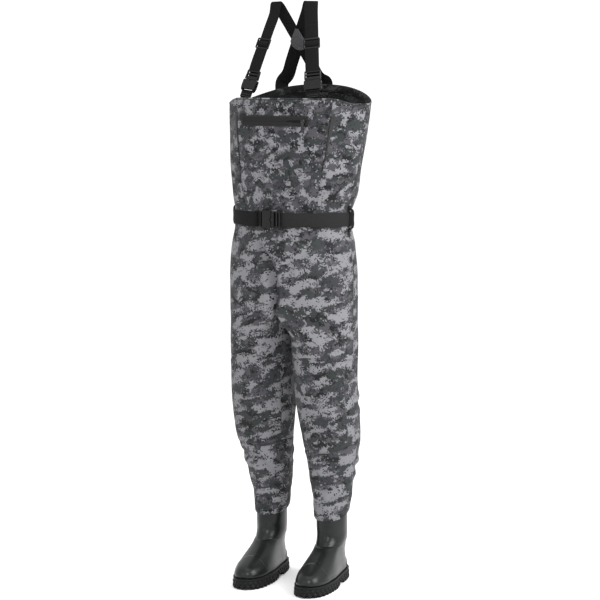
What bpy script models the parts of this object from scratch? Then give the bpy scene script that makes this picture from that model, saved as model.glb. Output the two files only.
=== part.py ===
"""Chest waders with boot feet, as they stand when worn: about 1.63 m from sole to shoulder strap.

The waders face -Y and their own left is +X. Everything is drawn around the waist's vertical
axis and hangs from one empty, which sets the origin under the middle of the object, on the floor.
The bib, legs and boots are thin shells cut along the garment's seams. The lower legs hinge at the
knees, the three side-release buckles open, and the strap sliders and the zip slider travel.
"""

import math

import bmesh
import bpy
import numpy as np
from mathutils import Matrix, Vector

# Where the waist's axis stands from the object's origin.
WAIST_AT = (-0.00838, 0.00904, 0.0)

# Heights
CROTCH_Z = 0.79
BELT_Z = 1.035
HEM_FRONT_Z = 1.365
HEM_SIDE_Z = 1.350
HEM_BACK_Z = 1.400
KNEE_Z = 0.51
KNEE_TOP_Z = 0.645
KNEE_BOTTOM_Z = 0.400
CUFF_FRONT_Z = 0.195
CUFF_BACK_Z = 0.223
SHAFT_TOP_Z = 0.250
SOLE_TOP_Z = 0.030

# Sheet goods
CLOTH = 0.003
WEBBING_WIDTH = 0.038
WEBBING = 0.002
SEAM_GAP = 0.0014
CLEARANCE = 0.0005

# Torso outline: height, half width, half depth, centre x, centre y, squareness
TORSO = (
    (0.79, 0.186, 0.122, 0.000, 0.005, 2.30),
    (0.88, 0.186, 0.122, 0.000, 0.004, 2.30),
    (0.97, 0.179, 0.113, 0.000, 0.002, 2.25),
    (1.008, 0.1725, 0.1010, 0.000, 0.000, 2.20),
    (1.020, 0.1720, 0.1005, 0.000, 0.000, 2.20),
    (1.050, 0.1720, 0.1005, 0.000, 0.000, 2.20),
    (1.062, 0.1725, 0.1010, 0.000, 0.000, 2.20),
    (1.10, 0.1815, 0.106, 0.0035, 0.002, 2.25),
    (1.20, 0.1940, 0.112, 0.0080, 0.008, 2.40),
    (1.30, 0.2030, 0.118, 0.0110, 0.015, 2.40),
    (1.41, 0.2090, 0.121, 0.0140, 0.022, 2.40),
)
# Left leg outline: height, centre x, centre y, half width, half depth
LEG = (
    (0.19, 0.0945, 0.055, 0.0480, 0.0535),
    (0.24, 0.0960, 0.054, 0.0520, 0.057),
    (0.30, 0.0980, 0.052, 0.0630, 0.068),
    (0.40, 0.1050, 0.038, 0.0780, 0.084),
    (0.50, 0.1010, 0.022, 0.0865, 0.092),
    (0.62, 0.0980, 0.008, 0.0880, 0.100),
    (0.72, 0.0965, 0.005, 0.0890, 0.112),
    (0.79, 0.0935, 0.005, 0.0920, 0.120),
)
THIGH_ROUND_Z = 0.70
INNER_THIGH_X = 0.0015
# Boot outline: height, toe y, heel y, half width, squareness
BOOT = (
    (0.030, -0.158, 0.124, 0.0475, 2.6),
    (0.045, -0.160, 0.126, 0.0480, 2.5),
    (0.058, -0.146, 0.125, 0.0460, 2.3),
    (0.070, -0.115, 0.124, 0.0435, 2.2),
    (0.085, -0.074, 0.121, 0.0410, 2.1),
    (0.100, -0.038, 0.117, 0.0395, 2.1),
    (0.115, -0.016, 0.114, 0.0402, 2.0),
    (0.130, -0.004, 0.1115, 0.0405, 2.0),
    (0.160, 0.0010, 0.1080, 0.0408, 2.0),
    (0.200, 0.0085, 0.1025, 0.0405, 2.0),
    (0.250, 0.0095, 0.1020, 0.0405, 2.0),
)
BOOT_X = 0.0965
ANKLE_Y = 0.05
FOOT_TURN = math.radians(6)  # both feet point a little to the wearer's left
BOOT_WALL = 0.003

# Panel seams, as angles round the torso from the front centre
PRINCESS_TOP = math.radians(42)
PRINCESS_BOTTOM = math.radians(35)

# Knee hinge
KNEE_AXIS_X = 0.101
KNEE_AXIS_Y = 0.045

# Suspenders
ANCHOR_X = 0.106
ANCHOR_GAP = 0.0016
STRAP_RISE = Vector((-0.19, 0.3305, 0.925)).normalized()
STRAP_FACE = Vector((0.24, -0.97, 0.0))
BACK_NORMAL = Vector((0.0, 1.0, 0.557)).normalized()
SHOULDER_TOP = {1: Vector((0.0500, 0.012, 1.628)), -1: Vector((-0.0560, 0.012, 1.628))}
BACK_ANCHOR = {1: Vector((-0.104, 0.1445, 1.390)), -1: Vector((0.030, 0.1445, 1.390))}
YOKE_HALF_GAP = 0.00115
YOKE_AT_SHARE = 0.435
BUCKLE_START = 0.018
SLIDER_START = 0.144
STRAIGHT_END = 0.250

# Side-release buckle for 38 mm webbing
BUCKLE_LENGTH = 0.062
BUCKLE_WIDTH = 0.048
BUCKLE_THICK = 0.012
SOCKET_LENGTH = 0.034
BELT_BUCKLE_X = -0.043

# Chest zip: it runs round a wide arc on the bib's front
ZIP_Z = 1.303
ZIP_RADIUS = 0.55
ZIP_HALF_HEIGHT = 0.014
ZIP_ENDS = (-0.108, 0.095)
ZIP_SLIDER_X = 0.083


# ---------------------------------------------------------------- scene and materials


def clear_scene():
    for obj in list(bpy.data.objects):
        bpy.data.objects.remove(obj, do_unlink=True)


def new_collection(name):
    collection = bpy.data.collections.new(name)
    bpy.context.scene.collection.children.link(collection)
    return collection


def material(name, colour, roughness, metallic=0.0):
    made = bpy.data.materials.new(name)
    made.use_nodes = True
    shader = made.node_tree.nodes["Principled BSDF"]
    shader.inputs["Base Color"].default_value = (*colour, 1.0)
    shader.inputs["Roughness"].default_value = roughness
    shader.inputs["Metallic"].default_value = metallic
    return made


clear_scene()
PARTS = new_collection("chest_waders")
CUTTERS = new_collection("cutters")
CAMO = material("camo_cloth", (0.10, 0.10, 0.11), 0.85)
CAMO_DARK = material("camo_cloth_patch", (0.07, 0.07, 0.08), 0.8)
LINING = material("pocket_lining", (0.02, 0.02, 0.022), 0.9)
WEB = material("black_webbing", (0.018, 0.018, 0.02), 0.75)
PLASTIC = material("black_plastic", (0.02, 0.02, 0.02), 0.4)
LEATHER = material("grey_leather", (0.08, 0.08, 0.085), 0.55)
RUBBER = material("boot_rubber", (0.06, 0.063, 0.066), 0.42)
SOLE = material("outsole_rubber", (0.014, 0.015, 0.016), 0.6)
FELT = material("insole_felt", (0.05, 0.05, 0.05), 0.95)
METAL = material("zip_metal", (0.05, 0.05, 0.05), 0.35, 0.8)

WADERS = bpy.data.objects.new("waist_axis", None)
WADERS.location = WAIST_AT
PARTS.objects.link(WADERS)


def place(name, mesh, finish, parent=WADERS, origin=(0.0, 0.0, 0.0)):
    """An object for a mesh drawn in its parent's space, with the object's own origin at origin."""
    mesh.transform(Matrix.Translation(-Vector(origin)))
    mesh.materials.clear()
    mesh.materials.append(finish)
    mesh.shade_smooth()
    mesh.set_sharp_from_angle(angle=math.radians(35))
    obj = bpy.data.objects.new(name, mesh)
    obj.location = origin
    obj.parent = parent
    PARTS.objects.link(obj)
    return obj


def empty(name, matrix, parent=WADERS):
    made = bpy.data.objects.new(name, None)
    made.parent = parent
    made.matrix_local = matrix
    PARTS.objects.link(made)
    return made


# ---------------------------------------------------------------- shape helpers


def table_row(table, z):
    """A table's values at height z, on a smooth curve through its rows."""
    rows = np.array(table)
    heights = rows[:, 0]
    slopes = np.gradient(rows[:, 1:], heights, axis=0)
    z = min(max(z, heights[0]), heights[-1])
    i = min(int(np.searchsorted(heights, z, side="right")) - 1, len(heights) - 2)
    span = heights[i + 1] - heights[i]
    t = (z - heights[i]) / span
    a = (1 + 2 * t) * (1 - t) ** 2
    b = t * (1 - t) ** 2
    c = t * t * (3 - 2 * t)
    d = t * t * (t - 1)
    low, high = rows[i, 1:], rows[i + 1, 1:]
    return a * low + b * span * slopes[i] + c * high + d * span * slopes[i + 1]


def smoothstep(x):
    x = min(max(x, 0.0), 1.0)
    return x * x * (3 - 2 * x)


def signed_power(value, exponent):
    return math.copysign(abs(value) ** exponent, value)


def torso_point(angle, z, out=0.0):
    """A point on the torso: angle 0 is the front centre, a quarter turn is the left side."""
    half_width, half_depth, cx, cy, square = table_row(TORSO, z)
    x = cx + (half_width + out) * signed_power(math.sin(angle), 2 / square)
    y = cy - (half_depth + out) * signed_power(math.cos(angle), 2 / square)
    return Vector((x, y, z))


def torso_y(x, z, out=0.0, back=False):
    """Where the torso's front, or its back, is at this x."""
    half_width, half_depth, cx, cy, square = table_row(TORSO, z)
    share = 1 - (abs(x - cx) / (half_width + out)) ** square
    depth = (half_depth + out) * share ** (1 / square)
    return cy + depth if back else cy - depth


def torso_normal(x, z, back=False):
    """The torso's level outward direction at this x, on its front or its back."""
    step = 0.01
    slope = (torso_y(x + step, z, back=back) - torso_y(x - step, z, back=back)) / (2 * step)
    return Vector((-slope, 1.0, 0.0)) if back else Vector((slope, -1.0, 0.0))


def hem_z(angle):
    """The bib's top edge: level in front, lowest at the sides, highest at the back centre."""
    front = 1 - smoothstep((abs(math.degrees(angle)) - 38) / 32)
    back = max(-math.cos(angle), 0.0) ** 1.9
    return HEM_SIDE_Z + (HEM_FRONT_Z - HEM_SIDE_Z) * front + (HEM_BACK_Z - HEM_SIDE_Z) * back


def leg_point(side, turn, z, out=0.0):
    """A point on a leg: turn 0 is in front, 0.25 outside, 0.5 behind, 0.75 inside."""
    angle = 2 * math.pi * turn
    outer = turn % 1.0 <= 0.5
    trunk = torso_point(angle, max(z, CROTCH_Z), out)
    if not outer:
        trunk.x = INNER_THIGH_X - out
    trunk.x = max(trunk.x, INNER_THIGH_X - out)
    cx, cy, half_width, half_depth = table_row(LEG, z)
    x = cx + (half_width + out) * math.sin(angle)
    y = cy - (half_depth + out) * math.cos(angle)
    share = smoothstep((CROTCH_Z - z) / (CROTCH_Z - THIGH_ROUND_Z))
    return Vector((side * (trunk.x + (x - trunk.x) * share), trunk.y + (y - trunk.y) * share, z))


def boot_point(side, turn, z, out=0.0):
    """A point on a boot: turn 0 is the toe, 0.25 outside, 0.5 the heel."""
    toe, heel, half_width, square = table_row(BOOT, z)
    angle = 2 * math.pi * turn
    middle, half_length = (toe + heel) / 2, (heel - toe) / 2 + out
    y = middle - half_length * signed_power(math.cos(angle), 2 / square)
    foot = 1 - smoothstep((z - 0.08) / 0.05)
    waist = 1 - 0.14 * foot * smoothstep((y + 0.06) / 0.10)
    x = (half_width * waist + out) * signed_power(math.sin(angle), 2 / square)
    return planted(side, x, y, z)


def planted(side, x, y, z):
    """Where a spot of a boot stands. x is outward from the boot's middle."""
    turned = Matrix.Rotation(FOOT_TURN, 3, "Z") @ Vector((side * x, y - ANKLE_Y, z))
    return turned + Vector((side * BOOT_X, ANKLE_Y, 0.0))


def spread(low, high, count):
    return [low + (high - low) * i / (count - 1) for i in range(count)]


def sheet_mesh(name, point, us, vs, closed=False, keep=None, flip=False):
    """A sheet of quads through point(u, v). keep(u, v) says which cells are cloth."""
    bm = bmesh.new()
    corners = {}

    def corner(i, j):
        key = (i % len(us), j)
        if key not in corners:
            corners[key] = bm.verts.new(point(us[key[0]], vs[j]))
        return corners[key]

    for i in range(len(us) if closed else len(us) - 1):
        for j in range(len(vs) - 1):
            following = us[(i + 1) % len(us)]
            if keep and not keep((us[i] + following) / 2, (vs[j] + vs[j + 1]) / 2):
                continue
            face = [corner(i, j), corner(i + 1, j), corner(i + 1, j + 1), corner(i, j + 1)]
            bm.faces.new(reversed(face) if flip else face)
    mesh = bpy.data.meshes.new(name)
    bm.to_mesh(mesh)
    bm.free()
    return mesh


def thicken(obj, thickness):
    """Give a sheet its thickness, inwards from the surface it was drawn on."""
    solid = obj.modifiers.new("thickness", "SOLIDIFY")
    solid.thickness = thickness
    solid.offset = -1.0
    solid.use_even_offset = True
    return obj


def through(points, count):
    """count points on a smooth curve through the given ones, each of any number of values."""
    known = np.array([list(p) for p in points])
    steps = np.linalg.norm(np.diff(known[:, :3], axis=0), axis=1)
    reach = np.concatenate([[0.0], np.cumsum(steps)])
    rows = [(r, *p) for r, p in zip(reach, known)]
    return [table_row(rows, r) for r in spread(0.0, reach[-1], count)]


def ribbon_mesh(name, stations, width, thickness):
    """A flat strap: a rectangle carried along stations of (x, y, z, normal x, y, z)."""
    bm = bmesh.new()
    rings = []
    centres = [Vector(s[:3]) for s in stations]
    for i, station in enumerate(stations):
        along = centres[min(i + 1, len(centres) - 1)] - centres[max(i - 1, 0)]
        along.normalize()
        normal = Vector(station[3:6])
        normal = (normal - normal.dot(along) * along).normalized()
        across = along.cross(normal) * width / 2
        up = normal * thickness / 2
        corners = (across + up, -across + up, -across - up, across - up)
        rings.append([bm.verts.new(centres[i] + c) for c in corners])
    for first, second in zip(rings, rings[1:]):
        for k in range(4):
            bm.faces.new((first[k], first[(k + 1) % 4], second[(k + 1) % 4], second[k]))
    bm.faces.new(reversed(rings[0]))
    bm.faces.new(rings[-1])
    bmesh.ops.recalc_face_normals(bm, faces=bm.faces)
    mesh = bpy.data.meshes.new(name)
    bm.to_mesh(mesh)
    bm.free()
    return mesh


def rectangle(x0, y0, x1, y1):
    return ((x0, y0), (x1, y0), (x1, y1), (x0, y1))


def plate_mesh(name, outlines, low, high, transform=None):
    """A flat plate from z low to high. The first outline is its edge and the others are holes."""
    curve = bpy.data.curves.new(name, "CURVE")
    curve.dimensions = "2D"
    curve.fill_mode = "BOTH"
    curve.extrude = (high - low) / 2
    for outline in outlines:
        spline = curve.splines.new("POLY")
        spline.points.add(len(outline) - 1)
        for point, (x, y) in zip(spline.points, outline):
            point.co = (x, y, 0.0, 1.0)
        spline.use_cyclic_u = True
    obj = bpy.data.objects.new(name, curve)
    PARTS.objects.link(obj)
    mesh = bpy.data.meshes.new_from_object(
        obj.evaluated_get(bpy.context.evaluated_depsgraph_get())
    )
    bpy.data.objects.remove(obj)
    bm = bmesh.new()
    bm.from_mesh(mesh)
    bmesh.ops.remove_doubles(bm, verts=bm.verts, dist=1e-6)
    bmesh.ops.recalc_face_normals(bm, faces=bm.faces)
    bm.to_mesh(mesh)
    bm.free()
    mesh.transform(Matrix.Translation((0.0, 0.0, (low + high) / 2)))
    if transform:
        mesh.transform(transform)
    return mesh


def cut(obj, name, low, high):
    """Take the box from low to high, in the parent's space, out of an object."""
    bm = bmesh.new()
    bmesh.ops.create_cube(bm, size=1.0)
    low, high = Vector(low), Vector(high)
    size = Matrix.Diagonal((*(high - low), 1.0))
    bmesh.ops.transform(bm, verts=bm.verts, matrix=Matrix.Translation((low + high) / 2) @ size)
    mesh = bpy.data.meshes.new(name)
    bm.to_mesh(mesh)
    bm.free()
    cutter = bpy.data.objects.new(name, mesh)
    cutter.parent = obj.parent
    cutter.hide_render = True
    cutter.display_type = "WIRE"
    CUTTERS.objects.link(cutter)
    boolean = obj.modifiers.new(name, "BOOLEAN")
    boolean.operation = "DIFFERENCE"
    boolean.solver = "EXACT"
    boolean.object = cutter


# ---------------------------------------------------------------- bib and legs


def princess(z):
    share = (z - BELT_Z) / (HEM_FRONT_Z - BELT_Z)
    return PRINCESS_BOTTOM + (PRINCESS_TOP - PRINCESS_BOTTOM) * share


def bib_panel(name, start, end, columns):
    """A bib panel between two seams, each an angle or a function of the height."""

    def point(share, rise):
        rough = BELT_Z + rise * (HEM_FRONT_Z - BELT_Z)
        first = start(rough) if callable(start) else start
        last = end(rough) if callable(end) else end
        half_gap = SEAM_GAP / 2 / 0.2
        angle = first + half_gap + (last - first - 2 * half_gap) * share
        top = hem_z(math.remainder(angle, 2 * math.pi))
        return torso_point(angle, BELT_Z + SEAM_GAP / 2 + rise * (top - BELT_Z - SEAM_GAP / 2))

    rises = (0.0, 0.085, 0.16, 0.35, 0.58, 0.80, 1.0)
    mesh = sheet_mesh(name, point, spread(0, 1, columns), rises)
    return thicken(place(name, mesh, CAMO), CLOTH)


def make_bib():
    quarter = math.pi / 2
    bib_panel("bib_front_panel", lambda z: -princess(z), princess, 9)
    bib_panel("bib_side_panel_left", princess, quarter, 5)
    bib_panel("bib_side_panel_right", -quarter, lambda z: -princess(z), 5)
    bib_panel("bib_back_panel", quarter, 3 * quarter, 15)

    def binding(angle, share):
        return torso_point(angle, hem_z(math.remainder(angle, 2 * math.pi)) - 0.022 * (1 - share), 0.003)

    angles = [2 * math.pi * i / 40 for i in range(40)]
    mesh = sheet_mesh("hem_binding", binding, angles, [0.0, 1.0], closed=True)
    thicken(place("hem_binding", mesh, CAMO_DARK), 0.002)


def leg_panel(name, side, front):
    """Half of a leg from the waist to the knee: the outer quarter, and the inner one below the crotch."""
    gap = SEAM_GAP / 2 / 0.6
    if front:
        turns = spread(-0.25 + gap, 0.0, 6) + spread(0.0, 0.25 - gap, 7)[1:]
    else:
        turns = spread(0.25 + gap, 0.5, 7) + spread(0.5, 0.75 - gap, 6)[1:]
    top = BELT_Z - SEAM_GAP / 2
    heights = [KNEE_TOP_Z + SEAM_GAP / 2, 0.70, 0.745, CROTCH_Z, 0.85, 0.91, 0.97, 1.008, top]

    def is_cloth(turn, z):
        return z < CROTCH_Z or 0.0 < turn < 0.5

    mesh = sheet_mesh(
        name, lambda turn, z: leg_point(side, turn, z), turns, heights, keep=is_cloth, flip=side < 0
    )
    return thicken(place(name, mesh, CAMO), CLOTH)


def make_gusset():
    """The diamond sewn into the crotch, where the four leg seams meet."""
    front = torso_y(0.0, CROTCH_Z) + 0.012
    back = torso_y(0.0, CROTCH_Z, back=True) - 0.012
    outline = ((0.0, front), (0.020, (front + back) / 2), (0.0, back), (-0.020, (front + back) / 2))
    mesh = plate_mesh("crotch_gusset", [outline], CROTCH_Z + 0.001, CROTCH_Z + 0.003)
    place("crotch_gusset", mesh, CAMO_DARK)


def cuff_z(turn):
    return CUFF_FRONT_Z + (CUFF_BACK_Z - CUFF_FRONT_Z) * (1 - math.cos(2 * math.pi * turn)) / 2


def make_leg(side, word):
    for front, place_word in ((True, "front"), (False, "back")):
        leg_panel(f"{word}_leg_{place_word}_panel", side, front)
    turns = [i / 24 for i in range(24)]
    knee_heights = spread(KNEE_BOTTOM_Z + SEAM_GAP / 2, KNEE_TOP_Z - SEAM_GAP / 2, 6)
    name = f"{word}_knee_section"
    mesh = sheet_mesh(
        name, lambda t, z: leg_point(side, t, z), turns, knee_heights, closed=True, flip=side < 0
    )
    thicken(place(name, mesh, CAMO), CLOTH)

    def patch(share, rise):
        arch = math.sin(math.pi * (share + 0.17) / 0.34)
        low, high = KNEE_BOTTOM_Z - 0.005 - 0.010 * arch, KNEE_TOP_Z - 0.025 + 0.020 * arch
        return leg_point(side, share, low + (high - low) * rise, 0.004)

    name = f"{word}_knee_patch"
    mesh = sheet_mesh(name, patch, spread(-0.17, 0.17, 9), spread(0, 1, 6), flip=side < 0)
    thicken(place(name, mesh, CAMO_DARK), 0.002)

    axis = (side * KNEE_AXIS_X, KNEE_AXIS_Y, KNEE_Z)
    gap = SEAM_GAP / 2 / 0.35
    for start, place_word in ((-0.25, "front"), (0.25, "back")):

        def calf(turn, rise):
            low = cuff_z(turn)
            return leg_point(side, turn, low + (KNEE_BOTTOM_Z - SEAM_GAP / 2 - low) * rise)

        name = f"{word}_calf_{place_word}_panel"
        turns = spread(start + gap, start + 0.5 - gap, 13)
        mesh = sheet_mesh(name, calf, turns, spread(0, 1, 6), flip=side < 0)
        thicken(place(name, mesh, CAMO, origin=axis), CLOTH)
    make_boot(side, word, axis)


def boot_sheet(name, side, columns, heights, out, closed=False):
    turns = [i / 24 for i in columns]
    return sheet_mesh(
        name, lambda t, z: boot_point(side, t, z, out), turns, heights, closed=closed, flip=side < 0
    )


def make_boot(side, word, axis):
    floor = SOLE_TOP_Z + CLEARANCE
    rows = [floor, 0.044, 0.053, 0.068, 0.085, 0.100, 0.115, 0.135, 0.16, 0.20, SHAFT_TOP_Z]
    name = f"{word}_boot_upper"
    mesh = boot_sheet(name, side, range(24), rows, 0.0, closed=True)
    bm = bmesh.new()
    bm.from_mesh(mesh)
    bottom = [e for e in bm.edges if e.is_boundary and max(v.co.z for v in e.verts) < floor + 1e-4]
    bmesh.ops.holes_fill(bm, edges=bottom)
    bmesh.ops.recalc_face_normals(bm, faces=bm.faces)
    if sum(f.normal.z for f in bm.faces if len(f.verts) > 4) > 0:
        bmesh.ops.reverse_faces(bm, faces=bm.faces)
    bm.to_mesh(mesh)
    bm.free()
    thicken(place(name, mesh, RUBBER, origin=axis), BOOT_WALL)

    caps = (
        ("toe_cap", range(-5, 6), rows[1:3], 0.0042),
        ("heel_counter", range(8, 17), rows[1:4], 0.0028),
    )
    for part, columns, heights, out in caps:
        name = f"{word}_{part}"
        mesh = boot_sheet(name, side, columns, [floor + 0.0005, *heights], out)
        thicken(place(name, mesh, RUBBER, origin=axis), 0.002)

    def outline(out):
        at = (boot_point(side, i / 32, SOLE_TOP_Z, out) for i in range(32))
        return [(p.x, p.y) for p in at]

    name = f"{word}_insole"
    low = floor + BOOT_WALL + CLEARANCE
    mesh = plate_mesh(name, [outline(-0.006)], low, low + 0.004)
    place(name, mesh, FELT, origin=axis)
    make_outsole(side, word, axis)


def make_outsole(side, word, axis):
    """A lofted sole: flat under the forefoot and the heel, raised at the arch and the toe."""
    toe, heel = -0.172, 0.138
    bm = bmesh.new()
    rings = []
    shares = [0.0, 0.02, 0.05, 0.10, 0.16, 0.30, 0.46, 0.52, 0.60, 0.66, 0.80, 0.90, 0.96, 0.985, 1.0]
    for share in shares:
        y = toe + (heel - toe) * share
        round_end = math.sqrt(max(1 - abs(2 * share - 1) ** 3.4, 0.05))
        half = 0.0545 * round_end * (1 - 0.13 * smoothstep((y + 0.06) / 0.10))
        arch = 0.010 * smoothstep((share - 0.46) / 0.06) * (1 - smoothstep((share - 0.60) / 0.06))
        toe_lift = 0.012 * smoothstep((0.16 - share) / 0.16)
        low = max(arch, toe_lift)
        section = ((-half * 0.93, low), (half * 0.93, low), (half, SOLE_TOP_Z), (-half, SOLE_TOP_Z))
        ring = []
        for x, z in section:
            ring.append(bm.verts.new(planted(side, x, y, z)))
        rings.append(ring)
    for first, second in zip(rings, rings[1:]):
        for k in range(4):
            bm.faces.new((first[k], first[(k + 1) % 4], second[(k + 1) % 4], second[k]))
    bm.faces.new(rings[0])
    bm.faces.new(rings[-1])
    bmesh.ops.recalc_face_normals(bm, faces=bm.faces)
    mesh = bpy.data.meshes.new("outsole")
    bm.to_mesh(mesh)
    bm.free()
    place(f"{word}_outsole", mesh, SOLE, origin=axis)


# ---------------------------------------------------------------- pockets and zip


def zip_centre():
    """The axis that the zip's arc is drawn round."""
    x = table_row(TORSO, ZIP_Z)[2]
    return Vector((x, torso_y(x, ZIP_Z) + ZIP_RADIUS, ZIP_Z))


def zip_angle(x):
    return math.asin((x - zip_centre().x) / ZIP_RADIUS)


def arc_sheet(name, ends, low, high, out, finish, thickness, columns=9):
    """A strip on the zip's arc, out from the bib by out."""
    centre = zip_centre()

    def point(angle, z):
        radius = ZIP_RADIUS + out
        return Vector((centre.x + radius * math.sin(angle), centre.y - radius * math.cos(angle), z))

    angles = spread(zip_angle(ends[0]), zip_angle(ends[1]), columns)
    return thicken(place(name, sheet_mesh(name, point, angles, [low, high]), finish), thickness)


def make_chest_zip():
    arc_sheet(
        "chest_zip_tape", ZIP_ENDS, ZIP_Z - ZIP_HALF_HEIGHT, ZIP_Z + ZIP_HALF_HEIGHT, 0.0040, WEB, 0.0015
    )
    arc_sheet("chest_pocket_bag", (-0.095, 0.085), 1.140, 1.315, -0.010, LINING, 0.003)

    centre = zip_centre()
    angle = zip_angle(ZIP_SLIDER_X)
    on_coil = Matrix.Translation(centre) @ Matrix.Rotation(angle, 4, "Z")
    carrier = empty("zip_slider_axis", on_coil)
    front = -(ZIP_RADIUS + 0.0045)
    upright = Matrix.Rotation(math.radians(90), 4, "X")
    body = (
        (-0.006, -0.004),
        (0.004, -0.0055),
        (0.006, -0.003),
        (0.006, 0.003),
        (0.004, 0.0055),
        (-0.006, 0.004),
    )
    mesh = plate_mesh("zip_slider", [body], 0.0, 0.0035, Matrix.Translation((0, front, 0)) @ upright)
    place("zip_slider", mesh, METAL, parent=carrier)

    hinge = Vector((0.0, front - 0.0048, 0.002))
    tab = (
        (-0.003, -0.002),
        (0.003, -0.002),
        (0.0045, -0.028),
        (0.003, -0.032),
        (-0.003, -0.032),
        (-0.0045, -0.028),
    )
    mesh = plate_mesh("zip_pull", [tab], -0.0008, 0.0008, Matrix.Translation(hinge) @ upright)
    place("zip_pull", mesh, METAL, parent=carrier, origin=hinge)


def make_handwarmer(side, word):
    name = f"{word}_handwarmer_pocket"
    angles = spread(math.radians(40), math.radians(78), 6)
    mesh = sheet_mesh(
        name,
        lambda a, z: torso_point(side * a, z, -0.009),
        angles,
        spread(1.10, 1.24, 4),
        flip=side < 0,
    )
    thicken(place(name, mesh, LINING), 0.003)


# ---------------------------------------------------------------- buckles


def make_buckle(prefix, frame, arm_words):
    """A side-release buckle. In frame, x is across, y runs from the socket to the plug, z is outward.

    The arm words name the arms at -x and +x.
    """
    carrier = empty(f"{prefix}_axis", frame)
    half, thick = BUCKLE_WIDTH / 2, BUCKLE_THICK
    edge = (
        (-half + 0.004, 0.0),
        (half - 0.004, 0.0),
        (half, 0.010),
        (half, SOCKET_LENGTH - 0.003),
        (half - 0.002, SOCKET_LENGTH),
        (0.006, SOCKET_LENGTH),
        (0.0, SOCKET_LENGTH - 0.006),
        (-0.006, SOCKET_LENGTH),
        (-half + 0.002, SOCKET_LENGTH),
        (-half, SOCKET_LENGTH - 0.003),
        (-half, 0.010),
    )
    slot = rectangle(-0.0200, 0.0035, 0.0200, 0.0075)
    socket = place(f"{prefix}_socket", plate_mesh("socket", [edge, slot], 0.0, thick), PLASTIC, carrier)
    wall = 0.0025
    mouth = half - 0.003
    cut(socket, f"{prefix}_mouth", (-mouth, 0.0105, wall), (mouth, SOCKET_LENGTH + 0.01, thick - wall))
    cut(socket, f"{prefix}_windows", (-half - 0.01, 0.014, wall), (half + 0.01, 0.026, thick - wall))

    low, high = wall + 0.0005, thick - wall - 0.0005
    plug_start = SOCKET_LENGTH + CLEARANCE
    tongue = 0.005
    arm_root = half - 0.0085
    body = (
        (-tongue, 0.0125),
        (tongue, 0.0125),
        (tongue, plug_start),
        (arm_root, plug_start),
        (half - 0.001, plug_start + 0.006),
        (half - 0.002, BUCKLE_LENGTH),
        (-half + 0.002, BUCKLE_LENGTH),
        (-half + 0.001, plug_start + 0.006),
        (-arm_root, plug_start),
        (-tongue, plug_start),
    )
    slots = [
        rectangle(-0.0200, y, 0.0200, y + 0.0045) for y in (plug_start + 0.0095, plug_start + 0.0185)
    ]
    place(f"{prefix}_plug", plate_mesh("plug", [body, *slots], low, high), PLASTIC, carrier)

    for sign, word in zip((-1, 1), arm_words):
        inner, outer = mouth - 0.0065, mouth - 0.0008
        arm = (
            (sign * inner, plug_start - 0.0010),
            (sign * inner, 0.0170),
            (sign * (inner - 0.001), 0.0125),
            (sign * (inner + 0.0035), 0.0125),
            (sign * outer, 0.0170),
            (sign * outer, 0.0235),
            (sign * (inner + 0.0030), 0.0260),
            (sign * (inner + 0.0030), plug_start - 0.0010),
        )
        hinge = (sign * (inner + 0.0015), plug_start - 0.0010, (low + high) / 2)
        mesh = plate_mesh("arm", [arm], low + 0.0005, high - 0.0005)
        place(f"{prefix}_arm_{word}", mesh, PLASTIC, carrier, hinge)


def facing(origin, along, normal):
    """A frame at origin with y along the strap and z out of its face."""
    along = along.normalized()
    normal = (normal - normal.dot(along) * along).normalized()
    across = along.cross(normal)
    turned = Matrix((across, along, normal)).transposed().to_4x4()
    return Matrix.Translation(origin) @ turned


# ---------------------------------------------------------------- belt


def make_belt():
    half = WEBBING_WIDTH / 2
    outward = 0.0050
    start = BELT_BUCKLE_X - CLEARANCE
    end = BELT_BUCKLE_X + BUCKLE_LENGTH + CLEARANCE

    def angle_of(x):
        half_width, _, cx, _, square = table_row(TORSO, BELT_Z)
        return math.asin(signed_power((x - cx) / (half_width + outward), square / 2))

    low, high = angle_of(end), 2 * math.pi + angle_of(start)

    def point(angle, z):
        at = torso_point(angle, BELT_Z, outward)
        return Vector((at.x, at.y, z))

    mesh = sheet_mesh("belt_webbing", point, spread(low, high, 40), [BELT_Z - half, BELT_Z + half])
    thicken(place("belt_webbing", mesh, WEB), WEBBING)

    face = torso_y(0.0, BELT_Z) - 0.0045
    origin = Vector((BELT_BUCKLE_X, face, BELT_Z))
    make_buckle("belt_buckle", facing(origin, Vector((1, 0, 0)), Vector((0, -1, 0))), ("upper", "lower"))

    for word, angle in (("left", math.pi / 2), ("right", -math.pi / 2), ("back", math.pi)):
        centre = torso_point(angle, BELT_Z)
        out = Vector((math.sin(angle), -math.cos(angle), 0.0))
        profile = (
            (0.0030, 0.036),
            (0.0036, 0.029),
            (0.0110, 0.0245),
            (0.0130, 0.018),
            (0.0130, -0.018),
            (0.0110, -0.0245),
            (0.0036, -0.029),
            (0.0030, -0.036),
        )
        stations = []
        for i, (proud, rise) in enumerate(profile):
            reach = torso_point(angle, BELT_Z + rise)
            proud_from = max(0.0, (Vector((reach.x, reach.y, 0)) - Vector((centre.x, centre.y, 0))).dot(out))
            at = centre + out * (proud + proud_from) + Vector((0, 0, rise))
            previous, following = profile[max(i - 1, 0)], profile[min(i + 1, len(profile) - 1)]
            slope = Vector((previous[1] - following[1], following[0] - previous[0]))
            slope.normalize()
            normal = out * slope.x + Vector((0, 0, slope.y))
            stations.append((*at, *normal))
        mesh = ribbon_mesh("belt_loop", stations, 0.016, 0.0015)
        place(f"belt_loop_{word}", mesh, WEB)


# ---------------------------------------------------------------- suspenders


def strap_rise(side):
    return Vector((side * STRAP_RISE.x, STRAP_RISE.y, STRAP_RISE.z))


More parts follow.
